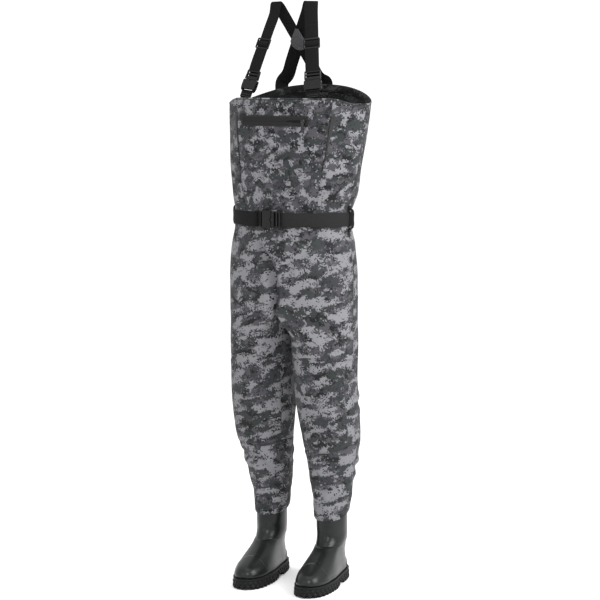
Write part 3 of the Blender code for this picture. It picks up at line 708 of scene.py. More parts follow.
def box(low, high):
    """A plain block, for cutting others."""
    low, high = Vector(low), Vector(high)
    place = Matrix.Translation((low + high) / 2) @ Matrix.Diagonal((*(high - low), 1.0))
    bm = bmesh.new()
    bmesh.ops.create_cube(bm, size=1.0, matrix=place)
    mesh = bpy.data.meshes.new("block")
    bm.to_mesh(mesh)
    bm.free()
    return add_object("block", mesh)


def carve(piece, cutters, operation="DIFFERENCE"):
    """Cut blocks from a piece, or join them to it, and remove them."""
    for cutter in cutters:
        boolean = piece.modifiers.new("carve", "BOOLEAN")
        boolean.operation = operation
        boolean.solver = "EXACT"
        boolean.object = cutter
    bake_modifiers(piece)
    for cutter in cutters:
        bpy.data.objects.remove(cutter)


def join(pieces, name):
    """One object from several, with their materials."""
    bm = bmesh.new()
    finishes = []
    for piece in pieces:
        start = len(bm.faces)
        indices = []
        for finish in piece.data.materials:
            if finish not in finishes:
                finishes.append(finish)
            indices.append(finishes.index(finish))
        bm.from_mesh(piece.data)
        bm.faces.ensure_lookup_table()
        for face in bm.faces[start:]:
            face.material_index = indices[face.material_index] if indices else 0
    mesh = bpy.data.meshes.new(name)
    bm.to_mesh(mesh)
    bm.free()
    for finish in finishes:
        mesh.materials.append(finish)
    for piece in pieces:
        bpy.data.objects.remove(piece)
    return add_object(name, mesh)


# A stitch's outline along itself: (place along it, thickness), as shares
STITCH_SHAPE = ((-0.5, 0.35), (-0.25, 1.0), (0.25, 1.0), (0.5, 0.35))
STITCH_RING = [(math.cos(math.radians(60 * k)), math.sin(math.radians(60 * k))) for k in range(6)]


def stitches(name, line, lift=0.0, finish=THREAD, pitch=0.0045, length=0.0032, radius=0.00035):
    """Thread stitches along a line of (point, normal), each a small bead lifted off the surface."""
    points = [Vector(p) + Vector(normal) * lift for p, normal in line]
    steps = [0.0]
    for first, second in zip(points, points[1:]):
        steps.append(steps[-1] + (second - first).length)
    vertices, faces = [], []
    reach = pitch / 2
    i = 0
    while reach < steps[-1] - pitch / 2:
        while steps[i + 1] < reach:
            i += 1
        share = (reach - steps[i]) / max(steps[i + 1] - steps[i], 1e-9)
        centre = points[i].lerp(points[i + 1], share)
        along = (points[i + 1] - points[i]).normalized()
        normal = squared(Vector(line[i][1]).lerp(Vector(line[i + 1][1]), share), along)
        across = along.cross(normal)
        base = len(vertices)
        for offset, scale in STITCH_SHAPE:
            middle = centre + along * (offset * length)
            for a, b in STITCH_RING:
                vertices.append(middle + (across * a + normal * b) * (radius * scale))
        faces += tube_faces(4, 6, base)
        faces.append(tuple(base + k for k in reversed(range(6))))
        faces.append(tuple(base + 18 + k for k in range(6)))
        reach += pitch
    return new_piece(name, vertices, faces, finish)


# ---------------------------------------------------------------- camera, floor and light

VIEW_TURN = math.radians(27)
VIEW_PITCH = math.asin(0.1214)
VIEW_DISTANCE = 5.5
VIEW_HEIGHT = 1.474
VIEW_ASIDE = 0.0199
FOCAL_SHARE = 3.3
SENSOR = 36.0

RIGHTWARD = Vector((math.cos(VIEW_TURN), math.sin(VIEW_TURN), 0.0))
TOWARDS = Vector((math.sin(VIEW_TURN), -math.cos(VIEW_TURN), 0.0))


def from_view(right, towards, up):
    """A place given from the middle of the waders, as the camera sees them."""
    return WAIST + RIGHTWARD * right + TOWARDS * towards + Vector((0, 0, up))


def make_camera():
    data = bpy.data.cameras.new("camera")
    data.sensor_width = SENSOR
    data.lens = SENSOR * FOCAL_SHARE
    data.clip_end = 60.0
    look = -TOWARDS * math.cos(VIEW_PITCH) + Vector((0, 0, -math.sin(VIEW_PITCH)))
    upward = RIGHTWARD.cross(look)
    turned = Matrix((RIGHTWARD, upward, -look)).transposed().to_4x4()
    place = from_view(VIEW_ASIDE, VIEW_DISTANCE, VIEW_HEIGHT)
    camera = add_object("camera", data)
    camera.matrix_world = Matrix.Translation(place) @ turned
    bpy.context.scene.camera = camera


def make_light(name, place, target, width, height, power):
    data = bpy.data.lights.new(name, "AREA")
    data.shape = "RECTANGLE"
    data.size = width
    data.size_y = height
    data.energy = power
    light = add_object(name, data)
    light.location = place
    light.rotation_euler = (target - place).to_track_quat("-Z", "Y").to_euler()


def make_studio():
    world = bpy.data.worlds.new("studio")
    world.use_nodes = True
    backdrop = world.node_tree.nodes["Background"]
    backdrop.inputs["Color"].default_value = (1.0, 1.0, 1.0, 1.0)
    backdrop.inputs["Strength"].default_value = 1.12
    bpy.context.scene.world = world
    bpy.context.scene.view_settings.view_transform = "Standard"
    middle = WAIST + Vector((0, 0, 0.8))
    make_light("key", from_view(2.5, 1.4, 2.2), middle, 1.4, 2.2, 105)
    make_light("fill", from_view(-2.4, 2.2, 1.7), middle, 1.8, 2.2, 12)
    make_light("strip_left", from_view(-0.55, 3.2, 2.6), middle, 0.30, 1.3, 22)
    make_light("strip_right", from_view(0.15, 3.3, 2.6), middle, 0.30, 1.3, 20)
    make_light("top", from_view(0.0, 0.3, 3.4), middle, 2.2, 2.2, 25)

    half = 14.0
    corners = [(-half, -half, 0), (half, -half, 0), (half, half, 0), (-half, half, 0)]
    floor = new_piece("studio_floor", corners, [(0, 1, 2, 3)], floor_material())
    floor.data.transform(Matrix.Translation((0.0, 0.0, -0.0005)))


make_camera()
make_studio()


# ---------------------------------------------------------------- the garment's surface

# Each half ring runs from the front centre to the back centre, by way of the princess seam and
# the side seam; a leg's ring goes on from there round the inside, by way of the inner seam.
SEAM_SIDE = 0.0026


def shares(length, count):
    """Even shares of a stretch, with one more close to each end, where a seam is."""
    near = SEAM_SIDE / length
    return [0.0, near, *spread(0.0, 1.0, count + 1)[1:-1], 1.0 - near]


# The stretches between seams round a ring: length and columns
STRETCHES = ((0.12, 16), (0.14, 18), (0.24, 28), (0.15, 16), (0.15, 16))
COLUMNS = [(k, s) for k, stretch in enumerate(STRETCHES) for s in shares(*stretch)]
# Each stretch's last column, which is the next one's first
PRINCESS_C, SIDE_C, BACK_C, INSIDE_C, FRONT_C = np.cumsum([n + 2 for _, n in STRETCHES]).tolist()
MID_BACK_C = (SIDE_C + BACK_C) // 2


def princess(z):
    share = min(max((z - BELT_Z) / (HEM_FRONT_Z - BELT_Z), 0.0), 1.0)
    return PRINCESS_BOTTOM + (PRINCESS_TOP - PRINCESS_BOTTOM) * share


def angle_at(column, z):
    """A column's angle from the front centre, for any column up to the last, the front again."""
    if column == FRONT_C:
        return 2 * math.pi
    section, share = COLUMNS[column]
    knots = (0.0, princess(z), math.pi / 2, math.pi, 3 * math.pi / 2, 2 * math.pi)
    return knots[section] + (knots[section + 1] - knots[section]) * share


def stops(low, high, step):
    """Even heights from low to high, with one more close to each end, where a seam is."""
    count = max(int(round((high - low) / step)), 2)
    inner = spread(low, high, count + 1)[1:-1]
    return [low, low + SEAM_SIDE, *inner, high - SEAM_SIDE]


ROW_STEP = 0.0068
CALF_SHARES = [h / 0.2 for h in stops(0.0, 0.2, ROW_STEP)]
KNEE_HEIGHTS = stops(KNEE_BOTTOM_Z, KNEE_TOP_Z, ROW_STEP)
THIGH_HEIGHTS = stops(KNEE_TOP_Z, CROTCH_Z, ROW_STEP)
HIP_HEIGHTS = stops(CROTCH_Z, BELT_Z, ROW_STEP)
BIB_SHARES = [h / 0.33 for h in stops(0.0, 0.33, ROW_STEP)] + [1.0]
KNEE_J = len(CALF_SHARES)
THIGH_J = KNEE_J + len(KNEE_HEIGHTS)
CROTCH_J = THIGH_J + len(THIGH_HEIGHTS)
BELT_J = len(HIP_HEIGHTS)
HEM_J = BELT_J + len(BIB_SHARES) - 1


def leg_height(j, turn):
    if j < KNEE_J:
        low = cuff_z(turn)
        return low + (KNEE_BOTTOM_Z - low) * CALF_SHARES[j]
    return (KNEE_HEIGHTS + THIGH_HEIGHTS + [CROTCH_Z])[j - KNEE_J]


def torso_height(j, angle):
    if j < BELT_J:
        return HIP_HEIGHTS[j]
    return BELT_Z + (hem_z(angle) - BELT_Z) * BIB_SHARES[j - BELT_J]


class Garment:
    """The cloth's outer surface before it is cut into panels: points, and quads that share them."""

    def __init__(self):
        self.points = []
        self.index = {}
        self.faces = []
        self.labels = []
        self.flats = []
        self.kinds = []
        for side, word in SIDES:
            self.add_leg(side, word)
            self.add_torso(side, word)
        self.points = np.array(self.points)
        self.kinds = np.array(self.kinds)

    def vertex(self, key, point, kind):
        if key not in self.index:
            self.index[key] = len(self.points)
            self.points.append(tuple(point))
            self.kinds.append(kind)
        return self.index[key]

    def torso_vertex(self, side, j, c):
        angle = angle_at(c, 1.2 if j > BELT_J else BELT_Z)
        for _ in range(3):
            z = torso_height(j, angle)
            angle = angle_at(c, z)
        centre = c in (0, BACK_C)
        point = torso_point(angle, z)
        if side < 0:
            middle = TORSO_TABLE.at(z)[2]
            point.x = 2 * middle - point.x
        return self.vertex(("torso", 0 if centre else side, j, c), point, (0, side * angle, z))

    def leg_vertex(self, side, j, c):
        if j == CROTCH_J and c <= BACK_C:
            return self.torso_vertex(side, 0, c)
        if j == CROTCH_J and c == FRONT_C:
            return self.torso_vertex(side, 0, 0)
        turn = angle_at(c, CROTCH_Z) / (2 * math.pi)
        z = leg_height(j, turn)
        point = leg_point(side, turn, z)
        if j == CROTCH_J:
            point.x = 0.0
            return self.vertex(("saddle", c), point, (0, 0.0, z))
        turn -= 1.0 if turn > 0.5 else 0.0
        return self.vertex(("leg", side, j, c % FRONT_C), point, (side, turn, z))

    def add_grid(self, side, corner, rows, columns, label):
        """Quads of a grid of vertices, each with its label and its corners' flat places."""
        grid = [[corner(side, j, c) for c in columns] for j in rows]
        place = np.array([[self.points[v] for v in row] for row in grid])
        steps = np.linalg.norm(np.diff(place, axis=1), axis=2)
        reach = np.concatenate([np.zeros((len(rows), 1)), np.cumsum(steps, axis=1)], axis=1)
        for j in range(len(rows) - 1):
            for c in range(len(columns) - 1):
                name = label(rows[j], columns[c])
                corners = ((j, c), (j, c + 1), (j + 1, c + 1), (j + 1, c))
                flat = []
                for row, column in corners:
                    u = reach[row][column] - reach[row][self.middle(name)]
                    if "back" not in name and columns[c] >= INSIDE_C:
                        u -= reach[row][-1]
                    flat.append((side * u, place[row][column][2]))
                face = [grid[row][column] for row, column in corners]
                if side < 0:
                    face, flat = face[::-1], flat[::-1]
                self.faces.append(face)
                self.labels.append(name)
                self.flats.append(flat)

    @staticmethod
    def middle(name):
        if name == "bib_front_panel":
            return 0
        if name == "bib_back_panel":
            return BACK_C
        return MID_BACK_C if "back" in name else PRINCESS_C

    def add_leg(self, side, word):
        def label(j, c):
            if KNEE_J <= j < THIGH_J:
                return f"{word}_knee_section"
            part = "back" if SIDE_C <= c < INSIDE_C else "front"
            return f"{word}_{'calf' if j < KNEE_J else 'leg'}_{part}_panel"

        self.add_grid(side, self.leg_vertex, range(CROTCH_J + 1), range(FRONT_C + 1), label)

    def add_torso(self, side, word):
        def label(j, c):
            if j < BELT_J:
                return f"{word}_leg_{'back' if c >= SIDE_C else 'front'}_panel"
            if c < PRINCESS_C:
                return "bib_front_panel"
            return f"bib_side_panel_{word}" if c < SIDE_C else "bib_back_panel"

        self.add_grid(side, self.torso_vertex, range(HEM_J + 1), range(BACK_C + 1), label)

    def normals(self):
        """Each point's outward direction, from the faces round it."""
        quads = np.array(self.faces)
        corner = self.points[quads]
        across = np.cross(corner[:, 2] - corner[:, 0], corner[:, 3] - corner[:, 1])
        total = np.zeros_like(self.points)
        for k in range(4):
            np.add.at(total, quads[:, k], across)
        return total / np.maximum(np.linalg.norm(total, axis=1, keepdims=True), 1e-12)



# Creases by kind of surface (0 the torso, 1 the left leg, -1 the right): depth, width and a line
# of (angle in degrees on the torso or turn on a leg, height).
CREASES = {
    0: (
        (0.0230, 0.0075, (
            (-19, 0.982), (-11, 0.952), (-4.5, 0.926), (-1.0, 0.887),
            (0.8, 0.851), (0.5, 0.815), (-0.8, 0.765),
        )),
        (0.0040, 0.0085, ((14, 0.925), (10, 0.885), (6, 0.845), (3.5, 0.800))),
        (0.0036, 0.0060, ((10, 1.120), (15, 1.095), (19, 1.078), (22, 1.056))),
        (0.0022, 0.0060, ((-28, 1.110), (-24, 1.085), (-22, 1.058))),
        (0.0024, 0.0080, ((33, 1.004), (30, 0.965), (22, 0.930))),
        (0.0026, 0.0080, ((-40, 1.002), (-33, 0.960), (-22, 0.925))),
        (0.0040, 0.0090, ((150, 0.880), (165, 0.850), (176, 0.820))),
        (0.0040, 0.0090, ((-150, 0.872), (-166, 0.845), (-176, 0.818))),
        (0.0030, 0.0070, ((120, 1.105), (128, 1.080), (132, 1.057))),
        (0.0030, 0.0070, ((-112, 1.112), (-120, 1.085), (-126, 1.057))),
    ),
    -1: (
        (0.0075, 0.0085, (
            (0.19, 0.362), (0.08, 0.352), (0.00, 0.347),
            (-0.06, 0.327), (-0.14, 0.303), (-0.25, 0.283),
        )),
        (0.0030, 0.0070, ((0.12, 0.240), (0.02, 0.224), (-0.09, 0.230), (-0.18, 0.246))),
        (0.0032, 0.0080, ((-0.10, 0.430), (-0.17, 0.405), (-0.26, 0.395))),
        (0.0060, 0.0090, ((-0.33, 0.330), (-0.42, 0.352), (-0.49, 0.345))),
        (0.0055, 0.0090, ((0.28, 0.300), (0.38, 0.322), (0.49, 0.318))),
        (0.0040, 0.0110, ((-0.46, 0.520), (0.50, 0.512))),
    ),
    1: (
        (0.0048, 0.0070, ((-0.15, 0.346), (-0.08, 0.378), (0.00, 0.401), (0.11, 0.414))),
        (0.0046, 0.0075, ((-0.14, 0.362), (-0.05, 0.336), (-0.02, 0.298))),
        (0.0062, 0.0075, ((-0.04, 0.256), (0.04, 0.270), (0.11, 0.286), (0.19, 0.296))),
        (0.0044, 0.0070, ((-0.12, 0.214), (0.00, 0.222), (0.09, 0.236), (0.21, 0.256))),
        (0.0058, 0.0090, ((0.24, 0.345), (0.34, 0.322), (0.46, 0.330))),
        (0.0050, 0.0090, ((-0.30, 0.300), (-0.38, 0.285), (-0.47, 0.296))),
        (0.0036, 0.0100, ((0.28, 0.520), (0.40, 0.508), (0.48, 0.512))),
    ),
}


def leg_girth(z):
    _, _, half_width, half_depth = LEG_TABLE.at(z)
    return 2 * math.pi * math.sqrt((half_width**2 + half_depth**2) / 2)


TORSO_GIRTH = 0.157 * 2 * math.pi
MOST_SWELL = 0.0090


def ripple(place, scale, detail, seed):
    """Smooth noise about zero, the same each run."""
    shifted = Vector(place) * scale + Vector((seed, -seed, seed * 0.5))
    return noise.fractal(shifted, 0.9, 2.0, detail, noise_basis="PERLIN_ORIGINAL")


def crease_push(line, turns, heights, girth, depth, width):
    """How far a crease moves each point of the cloth: a valley with a swell on either side."""
    nearest = np.full(len(turns), 9.0)
    share, above = np.zeros(len(turns)), np.zeros(len(turns))
    for k, ((a, low), (b, high)) in enumerate(zip(line, line[1:])):
        run, climb = (b - a) * girth, high - low
        du = (turns - a - np.round(turns - a)) * girth
        dv = heights - low
        t = np.clip((du * run + dv * climb) / (run**2 + climb**2), 0, 1)
        away = np.hypot(du - t * run, dv - t * climb)
        closer = away < nearest
        nearest = np.where(closer, away, nearest)
        share = np.where(closer, (k + t) / (len(line) - 1), share)
        above = np.where(closer, np.sign(run * dv - climb * du), above)
    fade = np.clip(np.minimum(share, 1 - share) * 5, 0, 1)
    fade = 0.15 + 0.85 * fade * fade * (3 - 2 * fade)
    valley = -np.exp(-((nearest / width) ** 2))
    swell = np.exp(-(((nearest - 2.1 * width) / (1.1 * width)) ** 2))
    swell *= np.where(above > 0, 0.75, 0.45) * min(depth, MOST_SWELL)
    return fade * (depth * valley + swell) * (nearest < 4 * width)


def torso_push(angle, z, place):
    """Soft undulation of the bib and hips, with gathers close above and below the belt."""
    below = smoothstep((BELT_Z - z) / 0.02)
    close = smoothstep((abs(z - BELT_Z) - 0.019) / 0.014)
    near = mound(abs(z - BELT_Z) - 0.030, 0.045)
    gathers = ripple((angle * 5.2, z * 5.0, below * 3.0), 1.0, 2, 3.3)
    wide = ripple((place[0] * 1.6, place[1] * 1.6, z * 0.7), 9.0, 2, 8.1)
    top = smoothstep((hem_z(math.remainder(angle, 2 * math.pi)) - z) / 0.05)
    calm = (0.35 + 0.65 * top) * smoothstep((z - CROTCH_Z) / 0.05)
    return close * (0.0052 * gathers * near + 0.0042 * wide * calm)


def leg_push(side, turn, z):
    """Soft undulation of a leg: broad on the thigh, and finer folds towards the cuff."""
    low = smoothstep((0.47 - z) / 0.12)
    cuff = smoothstep((z - CUFF_FRONT_Z - 0.02) / 0.06)
    crotch = smoothstep((CROTCH_Z - z) / 0.05)
    folds = ripple((turn * 4.5 + z * 2.2 * side, z * 11.0, side * 7.0 + 2.0), 1.0, 3, 5.7)
    broad = ripple((turn * 5.0, z * 5.5, side * 3.0), 1.0, 2, 1.9)
    small = ripple((turn * 14.0, z * 46.0, side * 5.0), 1.0, 2, 9.4)
    push = 0.0058 * folds * low * (0.3 + 0.7 * cuff) + 0.0042 * broad * (1 - low) * crotch
    return push + 0.0016 * small * smoothstep((0.30 - z) / 0.08) * cuff


def fold_garment():
    """Move the cloth in and out along its normals: creases, gathers and soft undulation."""
    kinds, values, heights = garment.kinds.T
    girth = np.array([leg_girth(z) if kind else TORSO_GIRTH for kind, z in zip(kinds, heights)])
    turns = np.where(kinds == 0, values / (2 * math.pi), values)
    rise = np.zeros(len(kinds))
    for kind, rows in CREASES.items():
        for depth, width, line in rows:
            line = [(a if kind else a / 360, z) for a, z in line]
            push = crease_push(line, turns, heights, girth, depth, width)
            rise += np.where(kinds == kind, push, 0.0)
    for i, (kind, value, z) in enumerate(garment.kinds):
        rise[i] += leg_push(kind, value, z) if kind else torso_push(value, z, garment.points[i])
    garment.points = garment.points + garment.normals() * rise[:, None]


garment = Garment()
fold_garment()
garment_normals = garment.normals()
PATTERN_SLANT = math.radians(13)


def knee_bend(word):
    """The lower leg's body and two points on the knee's axis, given with a piece that spans the
    knee.
    """
    return (f"{word}_lower_leg", (0.0, 0.04, 0.625), (0.0, 0.04, 0.420))


def cut_panel(name, order):
    """One panel of the garment as a closed sheet: printed outside, and inside a dark lining whose
    darkness is partly painted shade.
    """
    chosen = [k for k, label in enumerate(garment.labels) if label == name]
    quads = np.array([garment.faces[k] for k in chosen])
    flats = np.array([garment.flats[k] for k in chosen])
    used, inverse = np.unique(quads, return_inverse=True)
    quads = inverse.reshape(quads.shape)
    count = len(used)
    outer = garment.points[used].copy()
    normals = garment_normals[used]
    edges = {}
    for f, quad in enumerate(quads):
        for k in range(4):
            a, b = int(quad[k]), int(quad[(k + 1) % 4])
            if a != b:
                edges[(a, b)] = (f, k)
    border = [(e, at) for e, at in edges.items() if (e[1], e[0]) not in edges]
    inner = outer - normals * CLOTH
    rim = np.unique([v for e, _ in border for v in e])
    outer[rim] -= normals[rim] * 0.0008
    faces = [tuple(q) for q in quads.tolist()]
    faces += [tuple(v + count for v in q[::-1]) for q in quads.tolist()]
    u, v = flats[..., 0], flats[..., 1]
    turned = np.stack(slanted(u, v, 0.0 if "bib" in name else PATTERN_SLANT), -1)
    turned = turned + np.array([1.0 + 0.73 * order, 1.0 + 0.41 * order])
    corners = [*turned.reshape(-1, 2).tolist(), *turned[:, ::-1].reshape(-1, 2).tolist()]
    for (a, b), (f, k) in border:
        faces.append((b, a, a + count, b + count))
        at_a, at_b = turned[f][k].tolist(), turned[f][(k + 1) % 4].tolist()
        corners += [at_b, at_a, at_a, at_b]
    slots = [0] * len(quads) + [1] * len(quads) + [0] * len(border)
    mesh = bpy.data.meshes.new(name)
    mesh.from_pydata(np.concatenate([outer, inner]).tolist(), [], faces)
    mesh.materials.append(CAMO if "bib" in name else CAMO_LEG)
    mesh.materials.append(SHADED_LINING)
    mesh.polygons.foreach_set("material_index", slots)
    layer = mesh.uv_layers.new(name="UVMap")
    layer.data.foreach_set("uv", np.array(corners).ravel())
    mesh.shade_smooth()
    piece = add_object("cloth_" + name, mesh)
    word = name.split("_")[0]
    body = f"{word}_lower_leg" if "calf" in name else "root"
    settle(piece, body, [name], knee_bend(word) if "knee" in name else None)


PANELS = ["bib_front_panel", "bib_side_panel_left", "bib_side_panel_right", "bib_back_panel"]
for _, word in SIDES:
    PANELS += [f"{word}_leg_front_panel", f"{word}_leg_back_panel", f"{word}_knee_section"]
    PANELS += [f"{word}_calf_front_panel", f"{word}_calf_back_panel"]
for order, name in enumerate(PANELS):
    cut_panel(name, order)


# ---------------------------------------------------------------- things lying on the cloth


class Cloth:
    """The folded surface of the torso's half or of a leg, read at any angle or turn and height."""

    def __init__(self, leg, side):
        self.leg, self.side = leg, side
        self.rows = CROTCH_J + 1 if leg else HEM_J + 1
        self.columns = FRONT_C + 1 if leg else BACK_C + 1
        corner = garment.leg_vertex if leg else garment.torso_vertex
        columns = range(self.columns)
        index = np.array([[corner(side, j, c) for c in columns] for j in range(self.rows)])
        self.points = garment.points[index]
        self.normals = garment_normals[index]

    def at(self, value, z):
        """The point and normal at an angle (torso) or a turn (leg), and a height."""
        scale = 2 * math.pi if self.leg else 1.0
        value = value % 1.0 if self.leg else value
        spots = [angle_at(c, CROTCH_Z if self.leg else z) / scale for c in range(self.columns)]
        c = min(max(int(np.searchsorted(spots, value, side="right")) - 1, 0), self.columns - 2)
        across = (value - spots[c]) / (spots[c + 1] - spots[c])
        height = leg_height if self.leg else torso_height
        tall = [height(j, value) for j in range(self.rows)]
        j = min(max(int(np.searchsorted(tall, z, side="right")) - 1, 0), self.rows - 2)
        up = (z - tall[j]) / (tall[j + 1] - tall[j])
        made = []
        for grid in (self.points, self.normals):
            low = grid[j, c] * (1 - across) + grid[j, c + 1] * across
            high = grid[j + 1, c] * (1 - across) + grid[j + 1, c + 1] * across
            made.append(Vector(low * (1 - up) + high * up))
        return made[0], made[1].normalized()


TORSO_CLOTH = {side: Cloth(False, side) for side, _ in SIDES}
LEG_CLOTH = {side: Cloth(True, side) for side, _ in SIDES}


def on_torso(angle, z):
    return TORSO_CLOTH[1 if angle >= 0 else -1].at(abs(angle), z)


def on_leg(side, turn, z):
    return LEG_CLOTH[side].at(turn, z)


def slab(name, grid, finish, low, high, flip=False, at=(0.0, 0.0), slant=0.0, edge=0.35):
    """A closed thin sheet laid on a surface given as rows of (point, normal).

    It reaches from low to high off the surface, and edge is its thickness's share at its border.
    """
    rows, columns = len(grid), len(grid[0])
    under, over, uvs = [], [], []
    for j, row in enumerate(grid):
        u = 0.0
        for i, (point, normal) in enumerate(row):
            border = i in (0, columns - 1) or j in (0, rows - 1)
            under.append(point + normal * low)
            over.append(point + normal * (low + (high - low) * (edge if border else 1.0)))
            u += (point - row[i - 1][0]).length if i else 0.0
            across, up = slanted(u, point.z, slant)
            uvs.append((across + at[0], up + at[1]))
    count = rows * columns
    faces = []
    for j in range(rows - 1):
        for i in range(columns - 1):
            a = j * columns + i
            quad = (a, a + 1, a + 1 + columns, a + columns)
            faces += [tuple(v + count for v in quad), quad[::-1]]
    loop = list(range(columns))
    loop += [j * columns + columns - 1 for j in range(1, rows)]
    loop += [(rows - 1) * columns + i for i in range(columns - 2, -1, -1)]
    loop += [j * columns for j in range(rows - 2, 0, -1)]
    for a, b in zip(loop, loop[1:] + loop[:1]):
        faces.append((a, b, b + count, a + count))
    if flip:
        faces = [face[::-1] for face in faces]
    return new_piece(name, under + over, faces, finish, uvs + uvs)


def near_ends(low, high, count, edge=0.0012):
    """Even values from low to high with one more close to each end."""
    span = high - low
    push = math.copysign(min(edge, abs(span) / 4), span)
    return [low, low + push, *spread(low, high, count)[1:-1], high - push, high]


SEAM_LIFT = 0.0001
HEM_DEPTH = 0.022
# The binding's section, from outside over the edge to inside: height from the edge, and out
HEM_SECTION = (
    (-0.0034, 0.0001),
    (-0.0030, 0.0009),
    (-0.0015, 0.0011),
    (0.0004, 0.0008),
    (0.0012, -0.3 * CLOTH),
    (0.0008, -CLOTH - 0.0007),
    (-0.003, -CLOTH - 0.0013),
    (-0.012, -CLOTH - 0.0012),
    (-HEM_DEPTH + 0.0015, -CLOTH - 0.0012),
    (-HEM_DEPTH, -CLOTH - 0.0002),
)


def make_hem():
    """The binding folded over the bib's top edge, a closed ring over the panels' upper edge."""
    rings, uvs, reach, last = [], [], 0.0, None
    angles = [math.radians(a) for a in np.arange(-180, 180, 1.875)]
    for angle in angles:
        top = hem_z(angle)
        section = []
        for above, out in HEM_SECTION:
            point, normal = on_torso(angle, top + min(above, -0.0005))
            section.append(point + normal * out + Vector((0, 0, max(above, 0.0))))
        if last is not None:
            reach += (section[3] - last).length
        last = section[3]
        rings.append(section)
        uvs += [(reach + 3.1, p.z + 0.9 + 0.03 * (k > 4)) for k, p in enumerate(section)]
    rings.append(rings[0])
    count = len(HEM_SECTION)
    uvs += [(u + reach, v) for u, v in uvs[:count]]
    piece = loft("hem_binding_cloth", rings, [CAMO, SHADED_LINING], False, uvs, flip=True)
    # The binding's inner faces take the dark lining, with its painted shade
    slots = [int(k % count > 3) for k in range(count * (len(rings) - 1))]
    piece.data.polygons.foreach_set("material_index", slots)
    settle(piece, "root", ["hem_binding"])
    runs = []
    for k, below in enumerate((0.0055, HEM_DEPTH - 0.0022)):
        line = [on_torso(a, hem_z(a) - below) for a in angles + angles[:1]]
        runs.append(stitches(f"hem_{k}", line, SEAM_LIFT))
    settle(join(runs, "hem_stitching"), "root")


PATCH_REACH = 0.17  # how far a knee patch goes round the leg either way, in turns


def patch_place(side, share, rise):
    """Where a knee patch lies: its top and bottom edges are arched."""
    arch = math.sin(math.pi * (share + PATCH_REACH) / (2 * PATCH_REACH))
    low = KNEE_BOTTOM_Z - 0.005 - 0.012 * arch
    high = KNEE_TOP_Z - 0.022 + 0.034 * arch
    return on_leg(side, share, low + (high - low) * rise)


def make_knee_patch(side, word):
    """A second layer of cloth on the knee, stitched all round."""
    around = near_ends(-PATCH_REACH, PATCH_REACH, 46, 0.0025)
    rises = near_ends(0.0, 1.0, 40, 0.006)
    grid = [[patch_place(side, share, rise) for share in around] for rise in rises]
    laid = {"flip": side < 0, "at": (2.3 + side, 0.4), "slant": PATTERN_SLANT * side}
    piece = slab(f"{word}_knee_patch_cloth", grid, CAMO_PATCH, 0.0001, 0.0014, **laid)
    settle(piece, "root", [f"{word}_knee_patch"], knee_bend(word))
    low, high, reach = 0.012, 0.988, PATCH_REACH - 0.007
    corners = ((-reach, high), (reach, high), (reach, low), (-reach, low), (-reach, high))
    line = [patch_place(side, *corners[0])]
    for start, end in zip(corners, corners[1:]):
        line += [patch_place(side, *spot) for spot in np.linspace(start, end, 30)[1:]]
    thread = stitches(f"{word}_knee_stitching", line, 0.0015)
    settle(thread, "root", towards=knee_bend(word))


STITCH_GAP = 0.0042
# What turns a gap beside a seam into an angle on the torso, or into a turn on a leg
BIB_RADIUS = 0.17
HIP_RADIUS = 0.18
THIGH_GIRTH = 0.58
CALF_GIRTH = 0.42


def seam_threads():
    """Topstitching beside each seam of the bib, hips, thighs, knees and calves."""
    beside = (-STITCH_GAP, STITCH_GAP)
    runs = {"bib_stitching": [], "hip_stitching": []}
    bib, hip = runs.values()
    around = spread(-0.5, 0.5, 90)
    for side, word in SIDES:
        for seam, hem in ((princess, HEM_FRONT_Z), (lambda z: math.pi / 2, HEM_SIDE_Z)):
            heights = spread(BELT_Z + 0.025, hem - 0.024, 60)
            for gap in beside:
                bib.append([on_torso(side * (seam(z) + gap / BIB_RADIUS), z) for z in heights])
        heights = spread(CROTCH_Z, BELT_Z - 0.025, 40)
        for gap in beside:
            hip.append([on_torso(side * (math.pi / 2 + gap / HIP_RADIUS), z) for z in heights])
        heights = spread(CROTCH_Z + 0.012, BELT_Z - 0.025, 40)
        for angle in (STITCH_GAP / BIB_RADIUS, math.pi - STITCH_GAP / BIB_RADIUS):
            hip.append([on_torso(side * angle, z) for z in heights])
        thigh, calf = [], []
        for seam in (0.25, 0.75):
            above = spread(KNEE_TOP_Z + 0.003, CROTCH_Z, 30)
            below = spread(cuff_z(seam) + 0.006, KNEE_BOTTOM_Z - 0.003, 40)
            for gap in beside:
                thigh.append([on_leg(side, seam + gap / THIGH_GIRTH, z) for z in above])
                calf.append([on_leg(side, seam + gap / CALF_GIRTH, z) for z in below])
        thigh.append([on_leg(side, t, KNEE_TOP_Z + STITCH_GAP) for t in around])
        calf.append([on_leg(side, t, KNEE_BOTTOM_Z - STITCH_GAP) for t in around])
        for above in (0.006, 0.016):
            calf.append([on_leg(side, t, cuff_z(t) + above) for t in around])
        rings = (KNEE_TOP_Z - STITCH_GAP, KNEE_BOTTOM_Z + STITCH_GAP)
        runs[f"{word}_thigh_stitching"] = thigh
        runs[f"{word}_calf_stitching"] = calf
        runs[f"{word}_knee_seam_stitching"] = [[on_leg(side, t, z) for t in around] for z in rings]
    for name, lines in runs.items():
        parts = [stitches(f"{name}_{k}", line, SEAM_LIFT) for k, line in enumerate(lines)]
        piece = join(parts, name)
        piece.data.shade_smooth()
        word = name.split("_")[0]
        body = f"{word}_lower_leg" if "calf" in name else "root"
        settle(piece, body, towards=knee_bend(word) if "knee" in name else None)


POCKET_ENDS = (1.168, 1.318)
POCKET_RADIUS = 0.165
WELT_LOW_Z = 1.236


